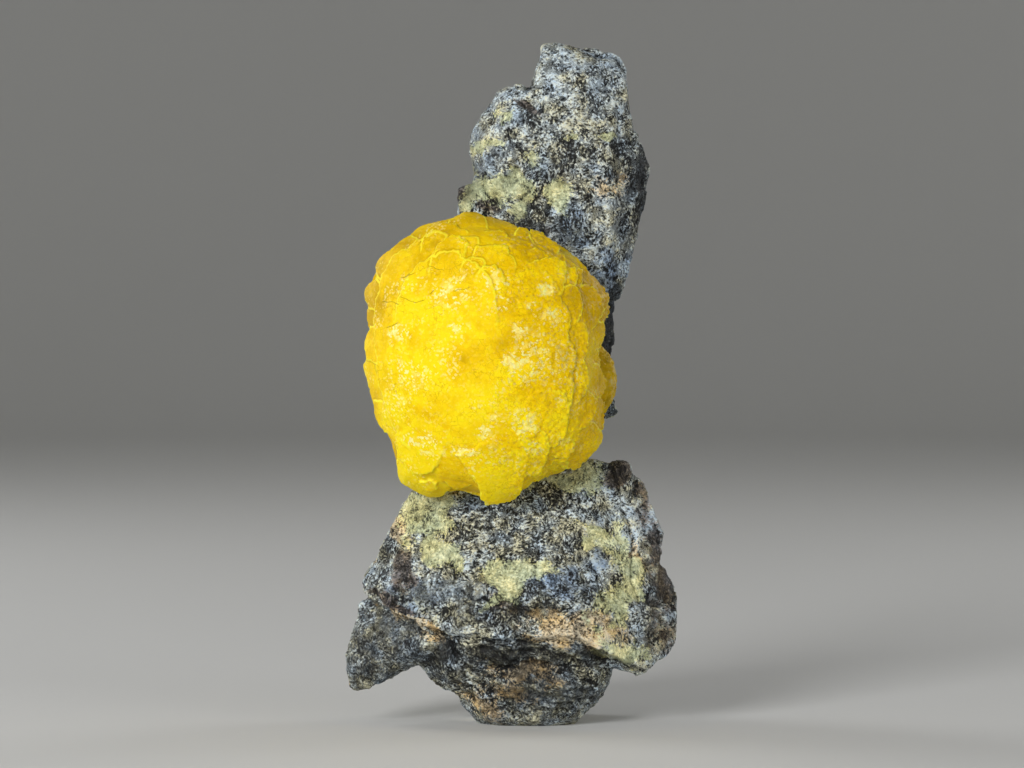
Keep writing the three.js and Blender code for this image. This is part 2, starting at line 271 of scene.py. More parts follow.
# What shows on the front, [x, z] in mm as seen from the front: half width, half height and turn in
# degrees of each patch, and how strongly it shows.
PATCHES = {
    "green": [
        (-16.8, 37.7, 4.4, 3.2, 10, 1), (-15.7, 30.4, 4.2, 2.0, -22, 1), (-1.4, 27.4, 6.3, 2.1, 4, 1),
        (-2.6, 24.8, 1.9, 2.6, 0, 0.9), (10.6, 43.6, 3.4, 2.6, 0, 1), (11.1, 33.8, 3.2, 1.5, -30, 0.9),
        (18, 25.9, 2.2, 3.3, 0, 0.8), (15.4, 20.7, 3, 2, 0, 0.8), (16.1, 32.4, 2.3, 2.7, 0, 0.7),
        (-3, 94.5, 5.4, 2.4, 0, 1), (5.5, 93.3, 2.2, 2.4, 0, 0.9), (-1.8, 90.6, 1.8, 1, 0, 0.8),
        (-6.9, 101.8, 2.3, 1.2, 0, 0.8), (15.4, 103.2, 1.7, 0.8, 0, 0.7), (-3.5, 106.9, 1.4, 1, 0, 0.7),
        (-9.6, 91.4, 1.6, 1.6, 0, 0.8), (16.8, 13.9, 3.6, 2.1, -15, 0.5), (-6, 22, 2, 1, 30, 0.5),
        (4, 44, 2.6, 1, 0, 0.5), (8, 104, 1.6, 1, 0, 0.5), (1, 100, 1.6, 1.2, 0, 0.4),
    ],
    "ochre": [
        (9.3, 17, 7.4, 2.6, -8, 1), (-19, 18.4, 4.4, 0.9, -22, 0.7), (-21.5, 35, 1.5, 2, 0, 1),
        (-0.8, 9.8, 5, 1.5, 0, 0.5), (19, 30, 1.5, 3, 0, 0.4), (14.6, 94.4, 1.4, 1.2, 0, 0.25),
        (-13, 41.8, 2, 1, 0, 0.5), (-6, 5, 3, 1.6, 0, 0.25),
    ],
    "blue": [
        (-19.9, 22.3, 3.4, 3, 0, 1.3), (6.2, 25.2, 4.4, 2.4, -15, 1.3), (15.5, 20, 3, 2.6, 0, 0.8),
        (13.2, 29.6, 1.6, 1.8, 0, 0.8), (9, 87.5, 2.4, 2.8, 0, 0.6), (-8.4, 40.6, 2.6, 1.6, 20, 0.6),
        (14.4, 73, 3, 10, 0, 0.8),
    ],
    "brown": [
        (-21.6, 27, 1.7, 2.8, 10, 0.9), (24.2, 25.3, 2.2, 10, 4, 0.3), (16.8, 43.6, 2.2, 2, 0, 1),
        (0.9, 108.8, 2.4, 0.6, -20, 0.9), (-6.4, 92.2, 1.4, 1.2, 0, 0.8), (-10.8, 93, 1.6, 2.4, 0, 1),
        (-4, 22, 3, 1.4, -20, 0.6), (2, 86, 3, 1.4, 0, 0.6), (8, 48, 8, 2, 0, 0.5),
        (-22, 21, 5, 0.9, -22, 0.8), (-7.6, 26.2, 1.6, 1.2, 0, 0.8), (-4.2, 24.4, 1, 1.6, 0, 0.8),
    ],
    "pale": [
        (8, 114, 8, 6, 0, 0.6), (13.4, 80.9, 3.4, 7.4, 0, 0.7), (-15, 29.6, 2, 1, 0, 0.9),
        (18.5, 28, 2.2, 2, 0, 0.7), (12, 16, 5, 2, 0, 0.5), (16.9, 72, 1.2, 1, 0, 0.5),
        (17, 15.2, 5, 1.4, -20, 0.6), (17, 34, 4, 5, 0, 0.6), (-19, 26, 4, 3, 0, 0.3),
        (-3, 105, 5, 4, 0, 0.25),
    ],
    # Mostly painted shade: these patches stand in for the shade in the recess under the lip, in the neck,
    # on the pillar's right side and in lines under overhangs. A few are rock of a deeper grey.
    "dark_and_shade": [
        (15, 67, 5, 12, 0, 1.6), (-2, 13.6, 12.6, 2.2, 0, 1.2), (11, 12.8, 6, 1.6, -14, 1.2),
        (-14, 12.6, 4, 3, -20, 1), (21.6, 94, 2.2, 12, 6, 1), (-25, 33, 1.4, 5, -18, 0.5),
        (-12, 9, 4, 3, 0, 0.7), (1, 88, 6, 2, 0, 0.5), (-10, 44, 14, 1.6, 0, 0.6),
        (-7.6, 96, 1, 2, 0, 0.6), (-10.6, 94, 2.4, 3, 0, 0.6), (16.8, 43.6, 2.2, 2, 0, 0.6),
        (0, 20, 6, 2, 0, 0.35), (0, 8, 9, 5, 0, 0.6), (-27, 14, 7, 8, 0, 0.16),
        (4, 100, 9, 6, 0, 0.2),
    ],
    "even": [
        (-25, 11, 9, 9, -20, 1.2), (2, 4, 12, 5, 0, 0.8), (-13, 23.5, 5, 2.4, 0, 1),
        (23, 24, 3, 10, 0, 0.4), (-11, 20, 4, 2, 0, 0.8), (-7, 98, 4, 3, 0, 0.7),
        (-9, 104, 2, 5, 0, 0.6), (17, 88, 2, 6, 0, 0.6),
    ],
}
# The same things on the sides and back: patch size in mm, how rare, and a place in the noise.
SCATTER = {
    "green": (9.0, 0.3, 11.0), "ochre": (7.0, 0.42, 23.0), "blue": (8.0, 0.36, 37.0),
    "brown": (11.0, 0.36, 51.0), "pale": (12.0, 0.2, 67.0), "dark_and_shade": (13.0, 0.22, 83.0),
    "even": (12.0, 0.16, 97.0),
}


def patch_fields(points, normals):
    """For each kind of patch, how far inside one each point is: 1 at its heart and 0 at its rim."""
    ragged = 0.5 * noise_over(points, 3.0, 5.0, 5)
    across = points[:, 0] + 2.2 * noise_over(points, 5.0, 31.0, 3)
    upward = points[:, 2] + 1.6 * noise_over(points, 5.0, 43.0, 3)
    faces_front = np.clip(0.5 - 2.5 * normals[:, 1], 0, 1)
    fields = {}
    for kind, patches in PATCHES.items():
        inside = np.full(len(points), -1.0)
        for x, z, half_width, half_height, turn, strength in patches:
            turned = (across - x + 1j * (upward - z)) * np.exp(-1j * math.radians(turn))
            away = np.hypot(turned.real / half_width, turned.imag / half_height)
            inside = np.maximum(inside, strength * (1.2 - away))
        size, rare, place = SCATTER[kind]
        scattered = 1.6 * (noise_over(points, size, place) - rare)
        fields[kind] = np.clip(inside * faces_front + scattered * (1 - faces_front) + ragged, -1, 1)
    return fields


# The sloping underside between the block's lip and its foot, as the corners of a solid.
UNDERSIDE = [
    (-12.6, -16.8, 16.4), (-8, -18, 16.4), (-2, -18.6, 16.2), (4, -19, 16.2), (8.6, -19, 15.9),
    (12.4, -16.4, 14.6), (-11, -14.4, 10.6), (-4, -16.2, 11.6), (4, -16.8, 12), (9, -15.4, 11.6),
    (12.6, -12.8, 11.6), (-11, -6, 12), (11, -6, 12), (-11, -6, 17), (11, -6, 17),
]
# The slope from the back slab's left edge to the waist behind the ball, [x, y, z] in mm.
LEFT_FLANK = [
    (-13.4, 3.2, 41), (-11.8, -2.4, 43), (-9.2, -3.6, 44), (-12.8, 2.8, 50), (-11.5, -0.8, 52),
    (-9.5, -3.2, 53), (-11.2, 3, 61), (-10.3, 0, 60), (-8.5, -2.5, 65), (-9.8, 3.4, 72),
    (-8.7, 0.6, 72), (-6.8, -2.6, 77), (-8.2, 4, 82), (-5.6, -1, 83), (-9, 8, 43), (-7, 8, 81),
    (-6, 2, 43),
]


def hull_of(corners):
    """The points and faces of the tight closed skin round some corners."""
    hull = bmesh.new()
    for corner in corners:
        hull.verts.new(corner)
    bmesh.ops.convex_hull(hull, input=hull.verts)
    loose = [v for v in hull.verts if not v.link_faces]
    bmesh.ops.delete(hull, geom=loose, context="VERTS")
    hull.verts.index_update()
    points = [v.co.copy() for v in hull.verts]
    faces = [[v.index for v in face.verts] for face in hull.faces]
    hull.free()
    return points, faces


def rock_relief(point):
    """How far the broken surface stands out at a point, in mm: flat chips of three sizes."""
    bend = Vector((waves(point, 5), waves(point, 5, 1, 9.0), 0)) * 0.7
    chips = 0.55 * facet(point + bend, 6.5, 3.0) + 0.34 * facet(point + bend, 2.7, 9.0)
    chips += 0.12 * facet(point, 1.1, 5.0)
    swell = 0.4 * waves(point, 8) + 0.06 * waves(point, 2.4)
    grit = 0.1 * waves(point, 0.9, 3)
    return swell + chips + grit


def ledges(point):
    """The steps of the layered break under the lip and on the foot, mm."""
    layer = point.z / 1.7 + 0.12 * point.x + 1.1 * waves(point, 6) + 0.3 * waves(point, 1.8)
    step = layer - math.floor(layer)
    return 0.55 * (min(step * 1.25, 5 * (1 - step)) - 0.5)


# The open seam along the left ledge and the cracks of the upper rock, [x, z] in mm.
SEAMS = [
    [(-28.8, 22.4), (-25.4, 21.2), (-22.1, 19.7), (-16.8, 17.4), (-13.6, 16.2)],
    [(-1.2, 109.6), (1.4, 108.6), (3.4, 108.9)],
    [(-7.4, 96.4), (-6.6, 91), (-7.4, 88)],
    [(4.4, 92), (3, 88), (3.6, 84.6)],
    [(-12, 24), (-6.6, 22.4), (-2.4, 22.8), (0.6, 20.6)],
    [(-13.4, 29.4), (-9.6, 25.4), (-9, 21.6)],
    [(17.2, 38.6), (19, 33), (18.8, 26), (21, 19.4)],
    [(9.4, 30.6), (12.8, 27), (13.6, 22.6)],
]


def solid_rock():
    """The CAD rock with the slopes that it leaves out, as one even skin."""
    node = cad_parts[ROCK_NODE]
    points = [v.co / MM for v in node.data.vertices]
    faces = [list(p.vertices) for p in node.data.polygons]
    for corners in (UNDERSIDE, LEFT_FLANK):
        more_points, more_faces = hull_of(corners)
        faces += [[k + len(points) for k in face] for face in more_faces]
        points += more_points
    rock = mesh_piece("serpentinite_rock", points, faces)
    weld = rock.modifiers.new("weld", "WELD")
    weld.merge_threshold = 0.01
    grow_skin(rock, ROCK_SPACING)
    thin_out(rock)
    return rock


def lip_share(points):
    """1 at the edge of the lip and 0 away from it."""
    level = np.clip(1 - np.abs(points[:, 2] - LIP_HEIGHT) / 5, 0, 1)
    return level * np.clip((LIP_FRONT - points[:, 1]) / 2, 0, 1)


def ledge_share(points):
    """1 where the layered break shows and 0 elsewhere."""
    left, right = LEDGES_SIDES
    share = np.clip((LEDGES_TOP - points[:, 2]) / 2, 0, 1) * np.clip((points[:, 0] - left) / 3, 0, 1)
    return share * np.clip((right - points[:, 0]) / 3, 0, 1) * np.clip(-points[:, 1] / 4, 0, 1)


def seam_depth(points):
    """How deep the seams and cracks cut in at every point, mm."""
    wander = 0.4 * np.sin(points[:, 0] * 2.1 + points[:, 2] * 1.7)
    front = points[:, 1] < -2
    depth = np.zeros(len(points))
    for line in SEAMS:
        off = off_line(points[:, 0], points[:, 2] + wander, line)
        depth += SEAM_DEPTH * front * np.exp(-((off / SEAM_WIDTH) ** 2))
    return depth


def rock_shape():
    rock = solid_rock()
    mesh = rock.data
    points = read_points(mesh)
    low, high = FOOT_CLEAR
    above = np.array([ease((z - low) / (high - low)) for z in points[:, 2]])
    points += (relaxed(points, read_edges(mesh), 3) - points) * above[:, None]
    points[:, 2] += LIP_LIFT * lip_share(points)
    write_points(mesh, points)
    normals = read_normals(mesh)
    fields = patch_fields(points, normals)
    for kind, field in fields.items():
        write_mask(mesh, kind, field)

    relief = at_each(points, rock_relief) * (1 - 0.45 * np.clip(3 * fields["green"], 0, 1))
    relief += ledge_share(points) * at_each(points, ledges) - seam_depth(points)
    write_points(mesh, points + normals * (relief * above)[:, None])
    # The material paints hollows deeper and ridges paler from this, as painted shade and highlight.
    write_mask(mesh, "proud", proudness(mesh, 8) / 0.25 + proudness(mesh, 90) / 1.6)
    return rock


# ------------------------------------------------------------------ the brucite's shape

BRUCITE_SPACING = 0.2
BALL_CENTRE = Vector((-6.8, -12, 65))
BALL_RADII = (20.8, 25)  # of the smooth swell of its front
BALL_FRONT = 15.6
BALL_BACK = 14.5
CORE_UP = 1.25  # how far the solid heart stands out of the skin in front
CORE_DOWN = 0.8  # how far it lies under the skin at the outline and behind
CORE_RINGS = 40
CORE_TURNS = 72
EDGE_STEP = 0.4  # between the points of a plate's edge
EDGE_BOW = 0.07  # how far an edge bows out between two corners, as a share of its length
EDGE_TEETH = 0.17  # how far the edge's small teeth stand out, at most
BLUNTING = 3  # points on each side that a thorn at the outline is averaged with
BURIED = 0.14  # an edge that lies deeper than this under the skin doesn't show
SIDE_LOBE_CENTRE = Vector((9.8, -5.5, 60.5))
SIDE_LOBE_RADII = Vector((6.2, 5.4, 7.3))
SIDE_LOBE_RINGS = 22
SIDE_LOBE_TURNS = 40

# The ball's outline from the front, (angle in degrees from +X towards +Z, radius in mm).
BALL_OUTLINE = [
    (0, 19.6), (15, 21.3), (25, 23.6), (31, 23.1), (50, 23.9), (68, 23.4), (82, 23.2), (99, 25.2),
    (118, 25.3), (132, 25.4), (145, 24.4), (155, 22.9), (170, 21.0), (180, 21.2), (190, 20.9),
    (205, 21.4), (222, 22.8), (236, 26.4), (248, 26.2), (259, 24.2), (270, 25.3), (283, 24.6),
    (299, 23.2), (312, 25.6), (322, 25.4), (332, 22.7), (345, 20.6), (360, 19.6),
]

# The plates round the ball's outline and over its front. Each is how far out of the ball's skin it
# lies, mm, its tone from deep gold at 0 to lemon at 1, and the corners of its edge as seen from the
# front, [x, z] in mm. Each lies under the ones that stand farther out. The low plates' tones are set
# lighter as painted light, standing in for light that reaches the ball's underside.
RIM_PLATES = [
    (0.3, 0.3, [(-25.7, 79), (-26.1, 80.5), (-25.5, 81.6), (-24.5, 82.7), (-23.3, 83.5), (-22.3, 84.5),
        (-21.2, 85.3), (-19.7, 86.1), (-14, 80), (-17, 72), (-22, 74)]),
    (0.15, 0.2, [(-20.6, 85), (-19.7, 86.1), (-19, 87), (-17.5, 87.7), (-15.7, 88.1), (-14, 88.5),
        (-12.7, 89), (-10, 84), (-12, 78), (-18, 78)]),
    (0.4, 0.25, [(-13.3, 88.4), (-12.7, 89), (-11.8, 89.4), (-10.2, 90), (-9.3, 89.9), (-8, 89.8),
        (-7.1, 89.4), (-6.7, 88), (-6, 82), (-12, 80)]),
    (0.2, 0.25, [(-7.4, 89.2), (-5.3, 88.9), (-4.2, 88.4), (-2.5, 87.8), (-1.3, 87.2), (-2, 80),
        (-8, 80)]),
    (0.45, 0.2, [(-1.5, 87), (-0.8, 87.5), (0.2, 87.1), (0.5, 86.7), (2, 80), (-3, 80)]),
    (0.3, 0.25, [(0.1, 86.4), (1.8, 86.9), (3, 86.2), (3.6, 85.7), (4.8, 84.9), (5.9, 84.3),
        (5.9, 83.7), (5.6, 82.8), (3, 76), (-2, 78)]),
    (0.05, 0.1, [(5.2, 82.6), (6.4, 82.9), (7, 82.1), (8.4, 81.1), (8.6, 80.4), (5, 74), (1, 78)]),
    (0.3, 0.0, [(8, 80.9), (9.9, 80.5), (10.9, 79.6), (12.1, 78.4), (13.1, 77.1), (13.9, 76),
        (14.6, 75.1), (14.4, 74.4), (9, 68), (3, 74)]),
    (0.1, 0.15, [(14.1, 74.9), (14.3, 73.8), (14.4, 72.7), (13.9, 71.6), (13.6, 70.7), (7, 66), (8, 76)]),
    (0.4, 0.3, [(13.5, 71.1), (13.8, 70), (13.4, 68.6), (13.1, 67.5), (12.6, 66.4), (12.6, 65.2),
        (12.8, 63.1), (6, 62), (6, 70)]),
    (0.6, 0.35, [(12.7, 63.6), (13.4, 61.5), (13.8, 60.6), (13.7, 59.2), (12.8, 58.1), (6, 56), (6, 64)]),
    (0.1, 0.2, [(12.8, 58.6), (13.6, 56.6), (13.9, 55.1), (13.7, 53.2), (13.1, 52), (7, 50), (7, 60)]),
    (0.35, 0.45, [(13, 52.3), (13.6, 51.2), (12.6, 49.4), (12.2, 48.7), (11.3, 47.5), (9.9, 46.6),
        (8.7, 45.1), (7.8, 45.6), (6.7, 45.6), (3, 52), (8, 56)]),
    (0.15, 0.7, [(7.2, 45.7), (5.1, 44.6), (3.2, 44.2), (1.4, 43.2), (-0.9, 41.6), (-4, 50), (4, 54)]),
    (0.45, 0.2, [(-25.6, 79), (-26.8, 78), (-27.6, 76.8), (-27.9, 75.5), (-27.8, 74.6), (-27.2, 73.6),
        (-20, 68), (-19, 76)]),
    (0.15, 0.1, [(-27.2, 74), (-27.4, 72.8), (-27.6, 71.1), (-27.1, 69.9), (-20, 66), (-20, 75)]),
    (0.5, 0.6, [(-27, 70.3), (-27.9, 68.3), (-27.8, 66.5), (-27.5, 64.7), (-20, 60), (-20, 72)]),
    (0.25, 0.6, [(-27.4, 65.2), (-28.2, 63.1), (-27.4, 61), (-26.9, 58.5), (-26.3, 56.1), (-18, 52),
        (-19, 66)]),
    (0.5, 0.6, [(-26.5, 57.4), (-26.2, 55), (-25.5, 53.3), (-24.4, 52), (-23.4, 51.2), (-22.4, 49.4),
        (-14, 48), (-16, 60)]),
    (0.25, 0.8, [(-22.6, 50), (-22.3, 47.7), (-22.4, 46.7), (-22.3, 44.7), (-21.7, 43), (-20.5, 42.3),
        (-18.8, 41.4), (-17.6, 40.7), (-15.8, 40.3), (-13.9, 40.9), (-13, 42), (-10, 50), (-18, 54)]),
    (-0.9, 0.3, [(-13.4, 42.6), (-12, 41.5), (-10.4, 41.1), (-9, 41.2), (-7.6, 41.8), (-8, 50),
        (-14, 50)]),
]
FRONT_PLATES = [
    (0.85, 0.25, [(-17, 86.6), (-14, 88), (-12.4, 87.9), (-11.6, 87.6), (-11.4, 87.2), (-10.4, 87),
        (-10, 86.5), (-10.2, 86.1), (-9, 80), (-14, 78), (-18, 82)]),
    (0.75, 0.3, [(-7, 86.5), (-4.5, 86.9), (-3.8, 86.7), (-3.2, 86.3), (-3.4, 85.8), (-5, 81)]),
    (1.1, 0.3, [(-10.4, 85.8), (-8.3, 85.6), (-8.1, 84.7), (-8.8, 84.3), (-8.3, 84), (-8.5, 83.5),
        (-9.1, 82.6), (-12, 78), (-12, 85)]),
    (1.25, 0.3, [(-8.6, 84.2), (-7.1, 84.1), (-5.6, 84.3), (-4.5, 84.2), (-3, 84.2), (-3, 83),
        (-1.9, 81.8), (-1.7, 81.2), (-3, 76), (-9, 78)]),
    (1.35, 0.35, [(-9.8, 82.2), (-8.5, 82.4), (-7.5, 82), (-6.9, 81.3), (-8, 78), (-11, 80)]),
    (1.45, 0.6, [(-7.6, 80.4), (-6.3, 80.9), (-5.2, 81.1), (-4.7, 80.5), (-3.6, 79), (-4, 76), (-9, 77)]),
    (1.45, 0.6, [(-13.8, 85.4), (-12.7, 86), (-11.3, 85.9), (-11, 85.3), (-10, 85), (-10, 84.3),
        (-10.5, 84), (-10.4, 82.3), (-9, 78), (-16, 76), (-16, 83)]),
    (0.9, 0.2, [(-2, 83), (1.7, 83.7), (2.6, 83.4), (3.9, 82.4), (4, 78), (-1, 77)]),
    (1.25, 0.35, [(0, 81), (4.8, 82.1), (5.6, 82), (6, 81.4), (6.8, 81.2), (7, 80.5), (6.8, 79),
        (5, 74), (-1, 75)]),
    (0.85, 0.25, [(5, 80), (8.4, 80.5), (8.7, 79.3), (8.7, 77.7), (8.1, 77.1), (4, 72), (3, 79)]),
    (0.6, 0.15, [(6, 80), (8.7, 80.3), (9.4, 80), (9.8, 79.9), (9.6, 78.7), (9.3, 77.2), (6, 72),
        (4, 78)]),
    (1.1, 0.35, [(7.6, 77.4), (8.4, 77.2), (9.1, 76.6), (9.3, 75.7), (9.9, 74.5), (9.8, 73.9),
        (9.6, 73.2), (6, 67), (2, 73)]),
    (0.55, 0.1, [(10, 77.6), (12.2, 76.5), (12.8, 75.7), (13.1, 74.7), (13.2, 73.4), (12.8, 72),
        (8, 67), (6, 74)]),
    (1.15, 0.4, [(8.6, 71.6), (10.4, 70.4), (10.7, 67.6), (9.8, 64.6), (10.8, 61.4), (10, 58.4),
        (7, 56), (4, 64)]),
    (0.95, 0.45, [(8.6, 60.6), (12.2, 57.9), (12.3, 56.9), (12.2, 55.9), (11.7, 54.6), (10.9, 53.3),
        (10.2, 52.9), (9.4, 52.8), (6, 55)]),
    (0.95, 0.55, [(5, 54), (6.3, 51.2), (7.5, 50.8), (8.4, 50.2), (8.4, 49.2), (7.9, 48.3), (6.5, 47.5),
        (3, 49)]),
    (0.65, 0.65, [(2, 50), (6.4, 48.6), (7.4, 47.4), (6.4, 46.6), (4.8, 46.8), (4.4, 46.2), (2.6, 45.8)]),
    (0.45, 0.35, [(-14.4, 44.4), (-13.2, 42.9), (-12, 42.3), (-10.4, 42.5), (-8.8, 43.4), (-8, 50),
        (-14, 50)]),
]
# Plates that run in under their neighbours on one side: out, tone, lean, how bright and how wide the
# edge's painted highlight line is, and corners. The lean is the rise over a turn of 90 degrees, in mm,
# to the right and up.
LEANING_PLATES = [
    (1.1, 0.5, 0, 0.75, 0.3, [(-26, 73.9), (-25.7, 75.7), (-25.3, 76.4), (-25.3, 77.7), (-25, 78.7),
        (-24.9, 79.4), (-23.9, 80.5), (-23.6, 81.6), (-22.8, 82.8), (-22.3, 83.1), (-20.3, 84),
        (-19.7, 84.7), (-18.1, 85.5), (-16.8, 86.1), (-15.4, 86.8), (-14.5, 86.5), (-13.6, 86.1),
        (-13.9, 85.2), (-11, 80), (-4, 74), (2, 66), (2, 54), (-4, 47), (-12, 46), (-18, 48.5),
        (-22, 52), (-24.6, 58), (-25.7, 65), (-26.1, 70)]),
    (1.2, 0.55, 1.2, 0.6, 0.17, [(-4, 79.6), (-1.6, 79.2), (2, 80.4), (5.2, 77.4), (6, 75), (7.6, 72),
        (7, 68.6), (8.6, 65.6), (7.8, 62.4), (8, 58.4), (6, 54), (3, 51.6), (-3, 52), (-5, 60), (-5, 72)]),
    (1.2, 0.7, 0.1 + 1.1j, 0.9, 0.18, [(-19, 80.2), (-16.4, 82.1), (-15.4, 82.3), (-14.2, 82.9),
        (-12.3, 83.2), (-11.6, 83.1), (-11.1, 82.1), (-10.2, 81.8), (-9.1, 81.4), (-7.8, 80.4),
        (-7, 79.6), (-5, 74), (-6, 66), (-12, 60), (-19, 62), (-22, 68), (-21.5, 76)]),
    # The blades and plates low on the ball have their tones set lighter as painted light, standing in for
    # light that reaches the ball's underside.
    # The folded blades at the bottom.
    (1.5, 0.7, -0.8 - 1.7j, 1, 0.2, [(-12.2, 48.4), (-10.7, 46.5), (-9.2, 44.3), (-8, 42.6),
        (-7.7, 40.6), (-6.8, 39.5), (-4.8, 39.7), (-2.9, 40.2), (-1.6, 40.6), (-0.6, 42), (0.1, 44.3),
        (0.6, 47), (0.2, 50), (-2, 51.6), (-5, 51.6), (-7.8, 50.2), (-9, 49.2), (-10.7, 48.8)]),
    (1.35, 0.9, -1.8j, 0.8, 0.2, [(-22.2, 47.7), (-20.7, 46.3), (-19.5, 44.8), (-18, 44.6),
        (-16.1, 45.2), (-15.1, 46.7), (-14.2, 48.5), (-13.6, 50.6), (-15, 53), (-19, 54), (-22.6, 51.5)]),
    (1.4, 0.5, 1.3, 0.7, 0.18, [(5.6, 59.4), (7, 58), (7.5, 56), (7.2, 52.7), (6.1, 50.6), (4.9, 49.6),
        (3.8, 49.8), (0, 53), (1, 59)]),
    (1.35, 0.8, 1.4, 0.8, 0.18, [(0, 54), (3.4, 52), (3.9, 50), (3.8, 48.1), (3.3, 46.6), (2.7, 45.4),
        (1.2, 44.2), (-1.4, 47)]),
    (0.9, 0.7, 0, 0.8, 0.18, [(-18.7, 43.2), (-17.9, 41.9), (-16.4, 41.2), (-15.4, 42), (-15.4, 43.1),
        (-16.6, 43.8)]),
]
# Open cleavage cracks on the front, [x, z] in mm.
CRACKS = [
    [(-21.6, 75.6), (-19.9, 74.9), (-18.5, 74.6), (-17.4, 75.1)],
    [(-21.4, 78.8), (-19.2, 79.7)],
    [(-24.7, 74.8), (-22.1, 74.4)],
    [(-16.5, 80.9), (-14.6, 80.2)],
    [(-12.1, 76.8), (-9.7, 77.1)],
    [(-15.7, 76.6), (-16.4, 76.1)],
    [(-23.8, 70.2), (-22.2, 71)],
]


def outline_radius(angle):
    """How far the ball's outline lies from its centre at an angle, mm."""
    return np.interp(math.degrees(angle) % 360, *zip(*BALL_OUTLINE))


def side_reach(angle, turn, out):
    """How far from the ball's middle line its skin is, turned that far from the front."""
    swell = 1 / math.hypot(math.cos(angle) / BALL_RADII[0], math.sin(angle) / BALL_RADII[1])
    radius = swell + (outline_radius(angle) - swell) * math.sin(turn) ** 4 + out
    return radius * math.sin(turn)


def on_ball(spot, out):
    """A point over the ball, out mm above its skin.

    spot is complex, as the ball is seen from the front by a fisheye: its size is 0 at the front, 1 at
    the outline and 2 at the back, and its angle runs from +X towards +Z.
    """
    angle = math.atan2(spot.imag, spot.real)
    turn = abs(spot) * math.pi / 2
    side = side_reach(angle, turn, out)
    depth = ((BALL_FRONT if abs(spot) < 1 else BALL_BACK) + out) * math.cos(turn)
    return BALL_CENTRE + Vector((side * math.cos(angle), -depth, side * math.sin(angle)))


def seen_at(x, z, out):
    """The spot of the ball, out mm above its skin, that the front view shows at x, z."""
    across = complex(x - BALL_CENTRE.x, z - BALL_CENTRE.z)
    angle = math.atan2(across.imag, across.real)
    near, far = 0.0, math.pi / 2
    for _ in range(16):
        turn = (near + far) / 2
        if side_reach(angle, turn, out) < abs(across):
            near = turn
        else:
            far = turn
    return near * 2 / math.pi * complex(math.cos(angle), math.sin(angle))


def round_turns(count):
    """That many angles, evenly round a circle."""
    return [2 * math.pi * k / count for k in range(count)]


def closed_rings(first, rings, last):
    """The points and faces of a closed skin from a point, through rings, to a point."""
    count = len(rings[0])
    points = [first, *(p for ring in rings for p in ring), last]
    faces = []
    for k in range(count):
        after = (k + 1) % count
        faces.append((0, 1 + after, 1 + k))
        for start in range(1, 1 + (len(rings) - 1) * count, count):
            faces.append((start + k, start + after, start + count + after, start + count + k))
        start = 1 + (len(rings) - 1) * count
        faces.append((len(points) - 1, start + k, start + after))
    return points, faces


def core_out(spot):
    """How far out of the ball's skin the solid heart comes, mm."""
    behind = ease((abs(spot) - 1.05) / 0.3)
    return CORE_UP - (CORE_UP + CORE_DOWN) * ease((abs(spot) - 0.56) / 0.36) - behind


def core_shape():
    """The ball's solid heart, in rings from its front to its back."""
    rings = []
    for ring in range(1, CORE_RINGS):
        reach = ring / (CORE_RINGS / 2)
        spots = [reach * complex(math.cos(a), math.sin(a)) for a in round_turns(CORE_TURNS)]
        rings.append([on_ball(spot, core_out(spot)) for spot in spots])
    return closed_rings(on_ball(0j, CORE_UP), rings, on_ball(2 + 0j, core_out(2 + 0j)))


def tipped(offset, lean):
    """How far a plate that leans has risen at an offset from its middle, mm."""
    return offset.real * lean.real + offset.imag * lean.imag


def standing(spot, edge, lift=0.0, lean=0j):
    """How far a plate's edge rises at a spot, mm, and 1 on the side its lean raises or 0 on the other."""
    away = spot - sum(edge) / len(edge)
    rise = tipped(away, lean)
    return rise + lift, ease(0.25 + rise / abs(away) / abs(lean)) if lean else 1.0


def plate_shape(edge, out, thickness, lift=0.0, lean=0j):
    """One curved plate with this edge, a ring of spots, out mm above the ball's skin.

    lift raises the plate's edge, mm. lean tips the plate: it is the rise, mm, over a whole spot.
    """
    middle = sum(edge) / len(edge)

    def place(spot, share, down):
        offset = (spot - middle) * share
        return on_ball(middle + offset, out + tipped(offset, lean) + lift * share ** 3 - down)

    shares = [0.2, 0.4, 0.6, 0.8, 0.93, 1.0]
    top = [[place(spot, share, 0.0) for spot in edge] for share in shares]
    under = [[place(spot, share, thickness) for spot in edge] for share in reversed(shares)]
    return closed_rings(place(middle, 0, 0.0), top + under, place(middle, 0, thickness))


def cornered_edge(corners, out, chance):
    """The edge through corners seen from the front, out mm above the skin, with small teeth."""
    edge = []
    for (x1, z1), (x2, z2) in zip(corners, corners[1:] + corners[:1]):
        length = math.hypot(x2 - x1, z2 - z1)
        steps = max(2, round(length / EDGE_STEP))
        for k in range(steps):
            t = k / steps
            tooth = chance.uniform(-EDGE_TEETH, EDGE_TEETH) / max(length, 0.5)
            bow = EDGE_BOW * math.sin(math.pi * t) + tooth
            x = x1 + (x2 - x1) * t - (z2 - z1) * bow
            z = z1 + (z2 - z1) * t + (x2 - x1) * bow
            edge.append(seen_at(x, z, out))
    return blunted(edge)


def blunted(edge):
    """The edge without the long thorns that small teeth make where the ball turns away at its outline."""
    reach = np.abs(edge)
    around = sum(np.roll(reach, k) for k in range(-BLUNTING, BLUNTING + 1)) / (2 * BLUNTING + 1)
    near_outline = np.clip((reach - 0.8) / 0.1, 0, 1)
    return [spot * (1 + share * (mean / size - 1))
            for spot, size, mean, share in zip(edge, reach, around, near_outline)]


